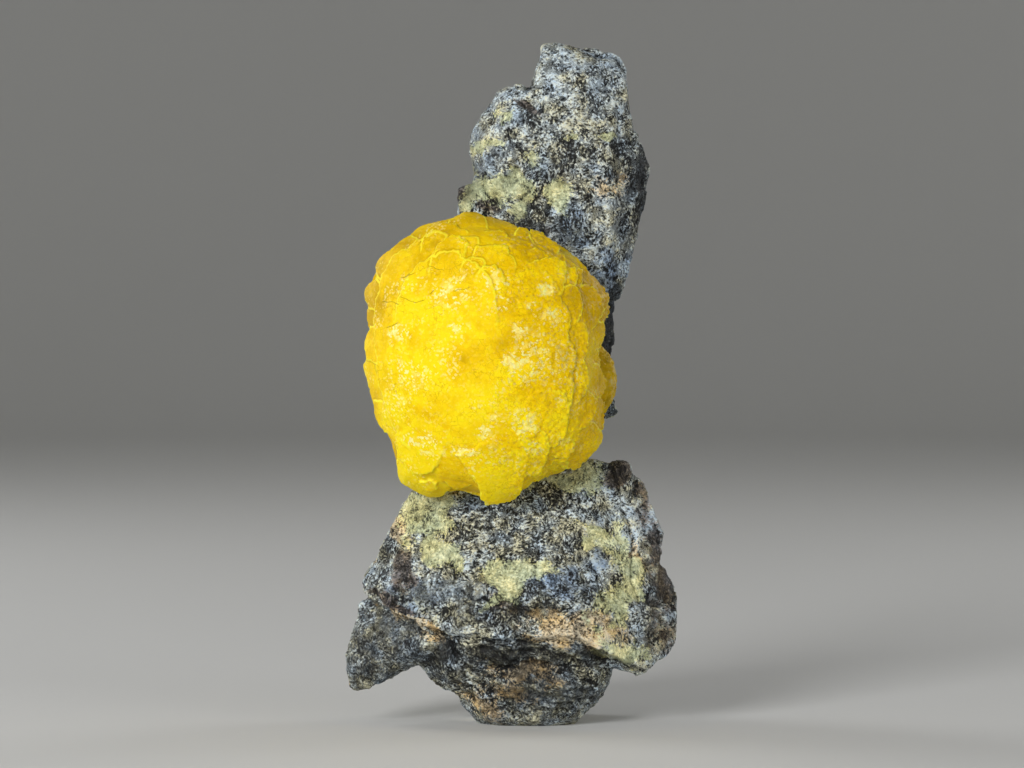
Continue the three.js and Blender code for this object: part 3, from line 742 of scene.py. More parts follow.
def lobed_edge(chance, middle, width, height, lobes):
    """A plate's edge of rounded lobes that meet in small notches, with a straight run here and there."""
    marks = sorted((k + chance.uniform(-0.32, 0.32)) / lobes for k in range(lobes))
    reach = [chance.uniform(0.84, 1.06) for _ in marks]
    bulge = [chance.choice((0.0, 0.05, 0.1)) for _ in marks]
    wrapped = [marks[-1] - 1, *marks, marks[0] + 1]
    aside = middle / abs(middle)
    edge = []
    for share in np.arange(96) / 96:
        radius = np.interp(share, wrapped, [reach[-1], *reach, reach[0]])
        k = int(np.searchsorted(marks, share)) % lobes
        along = ((share - wrapped[k]) % 1) / ((wrapped[k + 1] - wrapped[k]) % 1 or 1)
        radius += bulge[k] * math.sin(math.pi * min(along, 1)) + 0.012 * math.sin(share * 190 + lobes)
        turn = 2 * math.pi * share
        edge.append(middle + aside * complex(height * math.sin(turn), -width * math.cos(turn)) * radius)
    return edge


def hidden_plates(chance):
    """The plates of the ball's sides and back, row by row from behind to the outline."""
    rows = [
        # tilt, plates, half width, half height, out, lobes
        (1.72, 7, 0.5, 0.2, -1.5, 9),
        (1.56, 9, 0.46, 0.2, -1.3, 8),
        (1.42, 11, 0.4, 0.2, -1.05, 8),
        (1.28, 12, 0.36, 0.18, -0.8, 8),
        (1.17, 13, 0.34, 0.17, -0.55, 7),
        (1.06, 14, 0.32, 0.14, -0.35, 7),
    ]
    for row, (tilt, count, width, height, out, lobes) in enumerate(rows):
        for k in range(count):
            angle = 2 * math.pi * (k + 0.5 * (row % 2) + chance.uniform(-0.25, 0.25)) / count
            middle = (tilt + chance.uniform(-0.03, 0.03)) * complex(math.cos(angle), math.sin(angle))
            wide, high = width * chance.uniform(0.85, 1.3), height * chance.uniform(0.8, 1.25)
            edge = lobed_edge(chance, middle, wide, high, lobes + chance.randrange(-1, 3))
            yield edge, out + chance.uniform(-0.15, 0.15), chance.uniform(0.1, 0.7)


def outward(edge):
    """The direction from the ball's front to an edge's middle, one long."""
    middle = sum(edge)
    return middle / abs(middle)


def ball_plates(plate_thickness):
    """Every plate: its edge, how far out, its tone, how bright and wide its edge's painted highlight is,
    its form.
    """
    chance = random.Random(7)
    for edge, out, tone in hidden_plates(chance):
        form = {"lift": 0.1, "thickness": plate_thickness, "lean": 1.8 * outward(edge)}
        yield edge, out, tone, 0.6, 0.16, form
    for out, tone, corners in RIM_PLATES:
        edge = cornered_edge(corners, out, chance)
        form = {"thickness": 1.7, "lean": 1.2 * outward(edge)}
        yield edge, out, tone, 1, 0.2, form
    for out, tone, corners in FRONT_PLATES:
        edge = cornered_edge(corners, out, chance)
        form = {"lift": 0.05, "thickness": 1.4, "lean": 2.6 * outward(edge)}
        yield edge, out, tone, 1, 0.17, form
    for out, tone, lean, bright, wide, corners in LEANING_PLATES:
        form = {"lift": 0.2 * bright, "lean": complex(lean), "thickness": 2.0}
        yield cornered_edge(corners, out, chance), out, tone, bright, wide, form


def side_lobe_shape():
    """The small growth behind the ball's right edge."""
    rings = []
    for ring in range(1, SIDE_LOBE_RINGS):
        turn = math.pi * ring / SIDE_LOBE_RINGS
        side, depth = math.sin(turn), -math.cos(turn)
        rings.append([
            SIDE_LOBE_CENTRE + SIDE_LOBE_RADII * Vector((side * math.cos(a), depth, side * math.sin(a)))
            for a in round_turns(SIDE_LOBE_TURNS)
        ])
    depth = Vector((0, SIDE_LOBE_RADII.y, 0))
    return closed_rings(SIDE_LOBE_CENTRE - depth, rings, SIDE_LOBE_CENTRE + depth)


def sugariness(point):
    """How sugary the surface is: smooth on the left and crumbly on the right."""
    return ease((point.x + 8 + 4 * waves(point, 5)) / 8)


def brucite_relief(point):
    """How far the brucite stands out at a point, mm."""
    sugar = sugariness(point)
    swell = 0.1 * waves(point, 6)
    flakes = 0.06 * facet(point, 2.1, 4.0) + (0.03 + 0.15 * sugar) * facet(point, 0.8, 1.0)
    grit = (0.02 + 0.05 * sugar) * waves(point, 0.8, 2)
    if point.x > 10 and point.y > -14:
        # The side growth is a stack of leaves whose edges face outwards.
        leaf = point.y / 1.2 + 0.25 * point.z + 1.2 * waves(point, 4) + 0.3 * waves(point, 1.5)
        flakes += 0.6 * (leaf - math.floor(leaf) - 0.5) + 0.15 * facet(point, 1.5, 6.0)
    return swell + flakes + grit


# Where flakes have parted on the front: x, z, half width and height in mm, and how strongly.
PARTED = [
    (-21.8, 69.4, 2.1, 1.3, 1.3), (-12.4, 69.9, 1, 1, 1.3), (-11.9, 78.4, 1.4, 0.7, 1),
    (-5.4, 78.4, 2.7, 2.1, 0.8), (3.5, 76.9, 1.5, 1.3, 1), (3.5, 79.2, 0.6, 0.7, 1),
    (-4, 74.6, 1.5, 1.3, 0.8), (-0.9, 70, 1.5, 1.4, 0.9), (-2.6, 64.8, 1.6, 1.4, 1.1),
    (-0.5, 62.4, 2.6, 2.1, 0.6), (5.8, 57.8, 0.9, 0.7, 1), (-0.2, 54, 2.6, 2.6, 0.7),
    (-6.8, 52.3, 1.6, 1.2, 1), (-5, 54.7, 1.3, 1.1, 0.8), (-18.3, 50.9, 3.4, 1.2, 1),
    (-11.3, 48.8, 3.2, 0.9, 1), (1.6, 49.5, 1.8, 1.2, 0.9), (1.9, 65.9, 3, 4, 0.7),
    (0.9, 74.3, 0.8, 0.8, 1), (-17.5, 48.4, 0.9, 0.5, 1), (-20, 62, 4, 3, 0.5),
    (-12.5, 75.5, 4, 2, 0.5), (5, 72, 3, 2, 0.5), (7, 64, 3, 5, 0.4), (-22, 57, 2.4, 2.4, 0.5),
]
# Where the colour is lighter or deeper than its plate's tone: x, z and reach in mm, and by how much.
DRIFTS = [
    (-17.6, 62.7, 6, 0.35), (-22.2, 57.5, 4.5, 0.3), (-15, 71, 7, 0.25), (-10, 58, 6, 0.25),
    (-10.5, 64.5, 2.4, -0.12), (9.5, 76, 5, -0.35), (2, 72.5, 2.6, -0.25), (5, 64.5, 4.5, -0.3),
    (10.6, 55, 4, -0.12), (-4, 68, 1.8, -0.3), (8, 70, 4, -0.2), (-1, 54, 3.4, 0.3),
    (-18, 49, 3, 0.15), (-1.5, 62.5, 3, 0.3), (-4.5, 77, 3, 0.25), (3.5, 77, 2, 0.3),
    (-4, 45, 5, 0.5), (8, 52, 5, 0.3), (-10, 53, 5, 0.2), (-16, 46.6, 2.4, -0.15),
    (-14.5, 79, 5, -0.12), (-8.4, 73, 3, 0.2), (-27, 74, 3.6, -0.5), (-24.5, 80, 3, -0.3),
    (-20, 82, 3, -0.1), (-6, 85, 5, 0.3), (6, 80, 5, 0.15), (9, 55, 4, 0.1), (0, 81, 3, 0.15),
]


def flakiness(point):
    """How much the brucite has parted into pale flakes at a point."""
    spots = 0.0
    if point.y < BALL_CENTRE.y:
        for x, z, half_width, half_height, strength in PARTED:
            away = math.hypot((point.x - x) / half_width, (point.z - z) / half_height)
            spots = max(spots, strength * (1 - ease(away - 0.45)))
    scattered = 0.35 * ease(1.8 * waves(point, 5, 3))
    return min(1.0, spots + scattered)


def drift(point):
    """How much lighter or deeper the colour is than its plate's tone."""
    shift = 0.4 * waves(point, 6, 3)
    if point.y < BALL_CENTRE.y:
        for x, z, reach, change in DRIFTS:
            shift += change * (1 - ease(math.hypot(point.x - x, point.z - z) / reach / 1.3))
    return shift


def rim_points(edge, ring, middle):
    """Points close together along a plate's edge, and the direction off the edge at each."""
    for k, point in enumerate(ring):
        following, ahead = ring[(k + 1) % len(ring)], ring[(k + 2) % len(ring)]
        off = (ahead - ring[k - 2]).cross(point - BALL_CENTRE).normalized()
        off *= math.copysign(1, off.dot(point - middle))
        yield edge[k], [point, point.lerp(following, 1 / 3), point.lerp(following, 2 / 3)], off


def solid_brucite(plate_thickness):
    """The heart, the side growth and every plate as one even skin, and what its plates look like.

    The looks are the points of the plates' tops with their tones, and the points of the edges that may
    show with how bright and wide each edge's painted highlight is and the direction off it.
    """
    shapes = [core_shape(), side_lobe_shape()]
    tops, tones, rims, rim_looks = [], [], [], []
    for edge, out, tone, bright, wide, form in ball_plates(plate_thickness):
        shape = plate_shape(edge, out, **form)
        shapes.append(shape)
        top = shape[0][: 1 + 6 * len(edge)]
        for spot, along, off in rim_points(edge, top[-len(edge):], top[0]):
            rise, up = standing(spot, edge, form.get("lift", 0.0), form["lean"])
            if out + rise > core_out(spot) + 0.1:
                rims += along
                rim_looks += len(along) * [(bright * up, wide, *off)]
        tops += top
        tones += [tone] * len(top)
    points, faces = [], []
    for some_points, some_faces in shapes:
        faces += [tuple(k + len(points) for k in face) for face in some_faces]
        points += some_points
    brucite = mesh_piece("brucite_plates", points, faces)
    grow_skin(brucite, BRUCITE_SPACING)
    thin_out(brucite)
    write_points(brucite.data, relaxed(read_points(brucite.data), read_edges(brucite.data), 1))
    return brucite, tops, np.array(tones), np.array(rims), np.array(rim_looks)


def mark_edges(mesh, rims, rim_looks):
    """Stores how bright the nearest edge's painted highlight is, and how far off it each point lies, in
    its widths.
    """
    points = read_points(mesh)
    near = nearest_of(points, rims)[0]
    depth = np.einsum("ij,ij->i", rims - points[near], read_normals(mesh)[near])
    rims, rim_looks = rims[depth > -BURIED], rim_looks[depth > -BURIED]
    rim, away = nearest_of(rims, points)
    bright, wide = rim_looks[rim, :2].T
    off = np.einsum("ij,ij->i", points - rims[rim], rim_looks[rim, 2:]) / wide
    write_mask(mesh, "off_edge", np.clip(off, -3, 3))
    write_mask(mesh, "edge", bright * np.clip((0.4 + wide - away) / 0.25, 0, 1))


def mark_cracks(mesh):
    """Stores where the open cracks of the front run, and how far off them each point lies, mm."""
    points = read_points(mesh)
    across = points[:, 0] + 0.22 * noise_over(points, 1.2, 2.0, 2)
    upward = points[:, 2] + 0.22 * noise_over(points, 1.2, 4.0, 2)
    offs = np.array([off_line(across, upward, line) for line in CRACKS])
    off = offs[np.abs(offs).argmin(axis=0), np.arange(len(points))]
    off[points[:, 1] > BALL_CENTRE.y] = 9
    write_mask(mesh, "off_crack", np.clip(off, -2, 2))
    write_mask(mesh, "crack", np.exp(-((off / 0.4) ** 2)))


def mark_side_lobe(mesh, points):
    """Stores where the side growth shows, and its right rim, from the points before the relief."""
    from_lobe = np.linalg.norm((points - SIDE_LOBE_CENTRE) / SIDE_LOBE_RADII, axis=1)
    behind = np.clip((points[:, 1] + 14) / 2, 0, 1)
    ragged = 0.12 * noise_over(points, 2.5, 7.0, 3)
    write_mask(mesh, "side_lobe", np.clip((1.1 - from_lobe + ragged) * 5, 0, 1) * behind)
    write_mask(mesh, "side_rim", np.clip((points[:, 0] - 14.2) / 1.4, 0, 1))


def brucite_shape(plate_thickness):
    brucite, tops, tones, rims, rim_looks = solid_brucite(plate_thickness)
    mesh = brucite.data
    points, edges = read_points(mesh), read_edges(mesh)
    mark_edges(mesh, rims, rim_looks)
    tone = tones[nearest_of(tops, points)[0]] + at_each(points, drift)
    write_mask(mesh, "tone", relaxed(tone[:, None], edges, 2)[:, 0])
    write_mask(mesh, "flaky", at_each(points, flakiness))
    write_mask(mesh, "sugary", at_each(points, sugariness))
    mark_cracks(mesh)
    mark_side_lobe(mesh, points)
    write_points(mesh, points + read_normals(mesh) * at_each(points, brucite_relief)[:, None])
    write_mask(mesh, "proud", proudness(mesh, 14))
    return brucite


# ------------------------------------------------------------------ materials


def serpentinite_fractured(settings):
    """Serpentinite, broken: black-grey and pale fibres in flecks under a millimetre, dull, a few glinting.

    Its pale green patches are smoother and waxy, and the ochre and brown ones are weathered. Shade is
    painted into its colour in the recess under the lip, in the neck and on the pillar's right side, and
    hollows are painted a little deeper and ridges a little paler, as painted shade and highlight.
    """
    material, shader, add = new_material("serpentinite fractured")
    mask = {name: add("Attribute", attribute_name=name)["Fac"] for name in (*PATCHES, "proud")}
    place = add("TexCoord")["Object"]
    mm = add("VectorMath", {0: place, "Scale": 1 / MM}, operation="SCALE")[0]

    # The flecks are longer than wide: upright in some bundles and level in others.
    bend = add("TexNoise", {"Vector": mm, "Scale": 1 / 3, "Detail": 2.0})["Color"]
    bent = add("VectorMath", {0: bend, 1: (1.5, 1.5, 1.5), 2: mm}, operation="MULTIPLY_ADD")[0]
    upright = add("VectorMath", {0: bent, 1: (1.0, 1.0, 0.74)}, operation="MULTIPLY")
    level = add("VectorMath", {0: bent, 1: (0.78, 0.95, 1.05)}, operation="MULTIPLY")
    bundle = add("TexNoise", {"Vector": mm, "Scale": 1 / 4, "Detail": 2.0})["Fac"]
    level_share = add("MapRange", {"Value": bundle, 1: 0.49, 2: 0.52})[0]
    laid = add("Mix", {"Factor": level_share, 4: upright[0], 5: level[0]}, data_type="VECTOR")[1]
    fleck_scale = MM / settings.fleck_size
    flecks = add("TexVoronoi", {"Vector": laid, "Scale": fleck_scale})["Color"]
    fleck = add("SeparateColor", {0: flecks})
    grit = add(
        "TexNoise", {"Vector": laid, "Scale": fleck_scale * 0.8, "Detail": 4.0, "Roughness": 0.76},
    )["Fac"]
    cluster = add("TexNoise", {"Vector": mm, "Scale": 1 / 2.2, "Detail": 4.0, "Roughness": 0.6})["Fac"]

    # How pale each spot is: its grit, its fleck, its cluster, and where it lies. Standing out makes it
    # paler and lying in a hollow deeper, as painted highlight and painted shade, and the patches of
    # painted shade make it deeper too.
    pale = grit
    for part, weight, offset in (
        (grit, 1.35, -0.675), (fleck[0], 0.54, -0.27), (cluster, 0.9, -0.45), (bundle, 0.75, -0.375),
        (mask["proud"], 0.16, 0.0), (mask["pale"], 0.13, 0.0), (mask["dark_and_shade"], -0.08, 0.07),
    ):
        share = add("Math", {0: part, 1: weight, 2: offset}, operation="MULTIPLY_ADD")[0]
        pale = add("Math", {0: share, 1: pale}, operation="ADD")[0]
    # In the painted shade the flecks are evened out towards one grey.
    shade_flattening = add("MapRange", {"Value": mask["dark_and_shade"], 4: 0.6})[0]
    pale = add("Mix", {"Factor": shade_flattening, 2: pale, 3: 0.42}, data_type="FLOAT")[0]

    # Where the rock is fine-grained its flecks run together.
    even = add("MapRange", {"Value": mask["even"], 1: 0.0, 2: 0.5, 4: 0.5})[0]
    pale = add("Mix", {"Factor": even, 2: pale, 3: 0.515}, data_type="FLOAT")[0]

    colour = add("ValToRGB", {0: pale}, stops=shades(
        settings.rock_colour,
        (0.14, 0.01), (0.92, 4.0), (0.36, 0.08), (0.46, 0.38), (0.56, 0.95), (0.7, 2.2),
    ))["Color"]
    tint = add("TexNoise", {"Vector": mm, "Scale": 1 / 3.6, "Detail": 3.0})["Fac"]
    tint = add("Math", {0: fleck[2], 1: 0.16, 2: tint}, operation="MULTIPLY_ADD")[0]
    height = add("SeparateXYZ", {0: mm})["Z"]
    bluer = add("MapRange", {"Value": height, 1: 50.0, 2: 85.0, 3: 0.05, 4: 0.1})[0]
    tint = add("Math", {0: tint, 1: bluer}, operation="SUBTRACT")[0]
    tint = add("ValToRGB", {0: tint}, stops=[
        (0.34, linear("#e0eaf8")), (0.66, linear("#fff0cc")), (0.5, linear("#fbfaf6")),
    ])["Color"]
    # Inside a waxy patch the surface is clouded and not flecked.
    cloudy = add("TexNoise", {"Vector": bent, "Scale": 1 / 1.8, "Detail": 5.0, "Roughness": 0.72})["Fac"]
    cloudy = add("Mix", {"Factor": 0.36, 2: cloudy, 3: pale}, data_type="FLOAT")[0]
    rim = add("Math", {0: grit, 1: 2.4, 2: -1.2}, operation="MULTIPLY_ADD")[0]
    for kind, strength, by, tone, steps in (
        ("blue", 0.65, pale, settings.blue_colour, ((0.3, 0.03), (0.9, 5), (0.46, 0.5), (0.62, 1.7))),
        ("brown", 0.85, pale, settings.brown_colour, ((0.2, 0.1), (0.95, 6), (0.45, 0.5), (0.66, 1.4))),
        ("ochre", 0.74, pale, settings.ochre_colour, ((0.2, 0.08), (0.8, 2.6), (0.36, 0.45), (0.5, 1.2))),
        ("green", 0.95, cloudy, settings.green_colour,
         ((0.31, 0.1), (0.74, 2.6), (0.4, 0.68), (0.52, 1.32))),
    ):
        patch = add("ValToRGB", {0: by}, stops=shades(tone, *steps))["Color"]
        inside = add("Math", {0: mask[kind], 1: rim}, operation="ADD")[0]
        inside = add("MapRange", {"Value": inside, 1: 0.0, 2: 0.2, 4: strength})
        colour = add("Mix", {"Factor": inside[0], 6: colour, 7: patch}, data_type="RGBA")[2]
    tinted = add("MapRange", {"Value": mask["green"], 1: 0.0, 2: 0.3, 3: 1.0, 4: 0.6})
    colour = add(
        "Mix", {"Factor": tinted[0], 6: colour, 7: tint}, data_type="RGBA", blend_type="MULTIPLY",
    )[2]
    # Painted shade: the patches of painted shade, and of deeper grey rock on the sides, bring the colour
    # down to 0.35 of itself at most.
    shade = add("MapRange", {"Value": mask["dark_and_shade"], 3: 1.0, 4: 0.35})[0]
    colour = add("Mix", {"Factor": 1.0, 6: colour, 7: shade}, data_type="RGBA", blend_type="MULTIPLY")[2]

    # Fibres break at their own slant, which gives the glints, and the waxy patches are smoother.
    waxy = add("MapRange", {"Value": mask["green"], 1: 0.0, 2: 0.3})[0]
    rough = add("MapRange", {"Value": fleck[1], 3: 0.36, 4: 0.75})[0]
    rough = add("Mix", {"Factor": waxy, 2: rough, 3: 0.42}, data_type="FLOAT")[0]
    slant = add("VectorMath", {0: flecks, 1: (0.5, 0.5, 0.5)}, operation="SUBTRACT")
    steep = add("MapRange", {"Value": waxy, 3: 0.5, 4: 0.12})[0]
    slant = add("VectorMath", {0: slant[0], "Scale": steep}, operation="SCALE")
    facing = add("NewGeometry")["Normal"]
    slant = add("VectorMath", {0: facing, 1: slant[0]}, operation="ADD")
    slant = add("VectorMath", {0: slant[0]}, operation="NORMALIZE")
    bump = add("Bump", {"Height": pale, "Distance": 0.2 * MM, "Strength": 0.5, "Normal": slant[0]})
    set_inputs(shader, {
        "Base Color": colour, "Roughness": rough, "Normal": bump[0], "IOR": 1.56,
        "Specular IOR Level": 0.22,
    })
    return material


def brucite_cleaved(settings):
    """Brucite, cleaved: strong lemon yellow, waxy to pearly.

    Painted bright lines on the thin plate edges stand in for the light those edges catch, hollows are
    painted deep gold as painted shade, and flakes that have parted inside show pale.
    """
    material, shader, add = new_material("brucite cleaved")
    names = (
        "proud", "edge", "off_edge", "crack", "off_crack", "flaky", "sugary", "tone", "side_lobe",
        "side_rim",
    )
    mask = {name: add("Attribute", attribute_name=name)["Fac"] for name in names}
    place = add("TexCoord")["Object"]
    mm = add("VectorMath", {0: place, "Scale": 1 / MM}, operation="SCALE")[0]
    bend = add("TexNoise", {"Vector": mm, "Scale": 0.9, "Detail": 3.0})["Color"]
    bent = add("VectorMath", {0: bend, 1: (1.6, 1.6, 1.6), 2: mm}, operation="MULTIPLY_ADD")[0]
    clouds = add("TexNoise", {"Vector": mm, "Scale": 1 / 4.5, "Detail": 4.0, "Roughness": 0.62})["Fac"]
    flakes = add("TexVoronoi", {"Vector": bent, "Scale": MM / settings.flake_size})
    flake = add("SeparateColor", {0: flakes["Color"]})
    crumbs = add("TexVoronoi", {"Vector": mm, "Scale": 1 / 0.36})["Color"]
    crumb = add("SeparateColor", {0: crumbs})

    # The body's colour runs from deep gold to lemon, by plate, in drifts and flake by flake.
    depth = add("Math", {0: clouds, 1: 0.9, 2: -0.45}, operation="MULTIPLY_ADD")[0]
    depth = add("Math", {0: flake[0], 1: 0.2, 2: depth}, operation="MULTIPLY_ADD")[0]
    depth = add("Math", {0: depth, 1: mask["tone"]}, operation="ADD")[0]
    fine = add("TexNoise", {"Vector": mm, "Scale": 1.4, "Detail": 5.0, "Roughness": 0.7})["Fac"]
    depth = add("Math", {0: fine, 1: 0.5, 2: depth}, operation="MULTIPLY_ADD")[0]
    depth = add("Math", {0: depth, 1: 0.24}, operation="SUBTRACT")[0]
    colour = add("ValToRGB", {0: depth}, stops=[
        (0.0, settings.gold_colour), (1.0, settings.lemon_colour), (0.5, settings.yellow_colour),
    ])["Color"]
    # The side growth is painted olive as painted shade, standing in for the yellow brucite in the shadow
    # behind the ball, with a pale husk in crumbs along its right rim.
    shaded_olive = add("ValToRGB", {0: clouds}, stops=shades(
        settings.side_shade_colour, (0.35, 0.55), (0.75, 2.2), (0.55, 1.0),
    ))["Color"]
    husk = add("Math", {0: flake[2], 1: mask["side_rim"]}, operation="MULTIPLY")[0]
    husk = add("Math", {0: husk, 1: crumb[1]}, operation="MULTIPLY")[0]
    husk = add("MapRange", {"Value": husk, 1: 0.15, 2: 0.4, 4: 0.8})[0]
    shaded_olive = add("Mix", {"Factor": husk, 6: shaded_olive, 7: (*linear("#d2ccae"), 1)}, data_type="RGBA")[2]
    parted = add("Math", {0: mask["flaky"], 1: 1.05, 2: flake[1]}, operation="MULTIPLY_ADD")[0]
    parted = add("MapRange", {"Value": parted, 1: 1.2, 2: 1.75})[0]
    broken = add("MapRange", {"Value": crumb[2], 1: 0.1, 2: 0.7, 3: 0.35})[0]
    # Pale specks on the crumbs: partly pale crumbs of the brucite and partly painted glints.
    speck = add("MapRange", {"Value": crumb[0], 1: 0.76, 2: 0.86})[0]
    bare = add("MapRange", {"Value": mask["flaky"], 1: -0.05, 2: 0.7})[0]
    # Painted shade: hollows are painted deep gold.
    crevice_shade = add("MapRange", {"Value": mask["proud"], 1: -0.04, 2: -0.3})[0]
    # Each plate's edge gets a painted bright line, a painted highlight standing in for the light its thin
    # edge catches, and a painted shadow line runs outside it where the plate below begins.
    edge = add("Math", {0: mask["off_edge"]}, operation="ABSOLUTE")[0]
    edge = add("MapRange", {"Value": edge, 1: 1.15, 2: 0.5})[0]
    under = add("MapRange", {"Value": mask["off_edge"], 1: 1.0, 2: 1.7})[0]
    # Cracks are 0.1 mm wide. Finer ones run along flakes, where the body is clouded.
    off = add("Math", {0: mask["off_crack"]}, operation="ABSOLUTE")[0]
    crack = add("MapRange", {"Value": off, 1: 0.13, 2: 0.03, 4: 0.65})[0]
    joint = add(
        "TexVoronoi", {"Vector": bent, "Scale": MM / settings.flake_size}, feature="DISTANCE_TO_EDGE",
    )["Distance"]
    joint = add("MapRange", {"Value": joint, 1: 0.05, 2: 0.01})[0]
    jointed = add("Math", {0: mask["sugary"], 1: 0.06, 2: clouds}, operation="MULTIPLY_ADD")[0]
    jointed = add("MapRange", {"Value": jointed, 1: 0.47, 2: 0.6, 4: 0.5})[0]
    # Each feature is painted over the ones before it, where all its masks are.
    for masks, share, paint in (
        ((parted, broken), 0.82, settings.flake_colour), ((speck, bare), 0.8, linear("#fff6a8")),
        ((crevice_shade,), 0.6, linear("#a87e00")), ((joint, jointed), 1.0, linear("#c09400")),
        ((under, mask["edge"]), 0.6, linear("#b48c00")), ((edge, mask["edge"]), 0.8, linear("#fff03c")),
        ((crack, mask["crack"]), 1.0, linear("#8a6c00")), ((mask["side_lobe"],), 1.0, shaded_olive),
    ):
        paint = paint if isinstance(paint, bpy.types.NodeSocket) else (*paint[:3], 1)
        for part in masks:
            share = add("Math", {0: part, 1: share}, operation="MULTIPLY")[0]
        colour = add("Mix", {"Factor": share, 6: colour, 7: paint}, data_type="RGBA")[2]

    # Each cleavage flake tips its own way, which gives the glints.
    tip = add("VectorMath", {0: crumbs, 1: (0.5, 0.5, 0.5)}, operation="SUBTRACT")[0]
    steep = add("MapRange", {"Value": mask["sugary"], 3: 0.11, 4: 0.5})[0]
    tip = add("VectorMath", {0: tip, "Scale": steep}, operation="SCALE")[0]
    facing = add("NewGeometry")["Normal"]
    tip = add("VectorMath", {0: facing, 1: tip}, operation="ADD")[0]
    tip = add("VectorMath", {0: tip}, operation="NORMALIZE")[0]
    bump = add("Bump", {"Height": fine, "Distance": 0.12 * MM, "Strength": 0.5, "Normal": tip})
    rough = add("MapRange", {"Value": mask["sugary"], 3: 0.62, 4: 0.34})[0]
    rough = add("Math", {0: crumb[1], 1: 0.2, 2: rough}, operation="MULTIPLY_ADD")[0]
    rough = add("Math", {0: rough, 1: 0.1}, operation="SUBTRACT")[0]
    set_inputs(shader, {
        "Base Color": colour, "Roughness": rough, "Normal": bump[0], "IOR": 1.57,
        "Specular IOR Level": 0.26, "Specular Tint": (*linear("#ffe27a"), 1), "Subsurface Weight": 0.4,
        "Subsurface Radius": (1.0, 0.7, 0.1), "Subsurface Scale": 1.0 * MM,
    })
    return material


def floor_paint():
    """Matt paint, rolled: pale and even."""
    material, shader, _ = new_material("floor paint matt")
    set_inputs(shader, {"Base Color": (*linear("#dcdcda"), 1), "Roughness": 0.8})
    return material


# ------------------------------------------------------------------ settings and operators


def colour_setting(name, description, hex_colour):
    return bpy.props.FloatVectorProperty(
        name=name, description=description, default=linear(hex_colour), subtype="COLOR",
    )


class RockSettings(bpy.types.PropertyGroup):
    """The rock's flecks and colours."""

    fleck_size: bpy.props.FloatProperty(
        name="Fleck size", description="Width of the rock's flecks", default=0.31 * MM, unit="LENGTH",
    )
    rock_colour: colour_setting("Rock", "Middle grey of the rock", "#7b8182")
    green_colour: colour_setting("Green patches", "Colour of the waxy patches", "#a9ae88")
    ochre_colour: colour_setting("Ochre patches", "Colour of the weathered patches", "#a99472")
    blue_colour: colour_setting("Blue patches", "Colour of the blue-grey patches", "#485463")
    brown_colour: colour_setting("Brown patches", "Colour of the rusty brown patches", "#3c332d")


class BruciteSettings(bpy.types.PropertyGroup):
    """The brucite's plates, flakes and colours."""

    plate_thickness: bpy.props.FloatProperty(
        name="Plate thickness", description="Thickness of the plates at the back", default=0.75 * MM,
        unit="LENGTH",
    )
    flake_size: bpy.props.FloatProperty(
        name="Flake size", description="Width of the flakes inside the plates", default=1.25 * MM,
        unit="LENGTH",
    )
    gold_colour: colour_setting("Gold", "Deepest colour of the plates", "#cca400")
    yellow_colour: colour_setting("Yellow", "Middle colour of the plates", "#edc504")
    lemon_colour: colour_setting("Lemon", "Lightest colour of the plates", "#fddf14")
    flake_colour: colour_setting("Parted flakes", "Colour of flakes that have parted", "#ffef90")
    # Painted shade: this olive stands in for the yellow brucite in the shadow behind the ball.
    side_shade_colour: colour_setting("Side growth", "Colour of the small growth behind the ball", "#b89a0a")


class StageSettings(bpy.types.PropertyGroup):
    """The camera's distance and elevation."""

    camera_distance: bpy.props.FloatProperty(
        name="Camera distance", description="From the camera to the specimen", default=0.8,
        unit="LENGTH",
    )
    camera_height: bpy.props.FloatProperty(
        name="Camera elevation", description="Angle of the camera above the horizon",
        default=math.radians(2), subtype="ANGLE",
    )


class SPECIMEN_OT_rock(bpy.types.Operator):
    """Build the serpentinite rock"""

    bl_idname = "specimen.rock"
    bl_label = "Serpentinite rock"

    def execute(self, context):
        rock = rock_shape()
        material = serpentinite_fractured(context.scene.specimen_rock)
        finish_piece(rock, material, ROCK_NODE)
        return {"FINISHED"}


class SPECIMEN_OT_brucite(bpy.types.Operator):
    """Build the ball of brucite plates"""

    bl_idname = "specimen.brucite"
    bl_label = "Brucite plates"

    def execute(self, context):
        settings = context.scene.specimen_brucite
        brucite = brucite_shape(settings.plate_thickness / MM)
        finish_piece(brucite, brucite_cleaved(settings), BRUCITE_NODE)
        return {"FINISHED"}


class SPECIMEN_OT_stage(bpy.types.Operator):
    """Set up the floor, the studio light and the camera"""

    bl_idname = "specimen.stage"
    bl_label = "Stage"

    def execute(self, context):
        settings = context.scene.specimen_stage
        floor = floor_sweep()
        floor.data.materials.append(floor_paint())
        place_lights()
        place_camera(settings)
        return {"FINISHED"}


# The round floor, in metres: flat, then bent up into a wall.
FLOOR_FLAT = 1.1
FLOOR_BEND = 0.7
FLOOR_WALL = 1.4
FLOOR_TURNS = 96
BEND_STEPS = 16
VIEW_TARGET = Vector((-2.3, -6, 59.9)) * MM
VIEW_WIDTH = 180.7 * MM  # what the picture shows across, at the target
LIGHT_TARGET = Vector((0, 0, 60)) * MM
# Each lamp's name, place in metres, width in metres and power in watts.
LIGHTS = [
    ("key_light", (-0.42, -0.76, 0.34), 0.36, 6.4),
    ("fill_light", (0.62, -0.55, 0.2), 0.4, 1.1),
    ("left_rim_light", (-0.62, 0.36, 0.34), 0.3, 1.6),
    ("right_rim_light", (0.6, 0.42, 0.36), 0.3, 0.9),
]


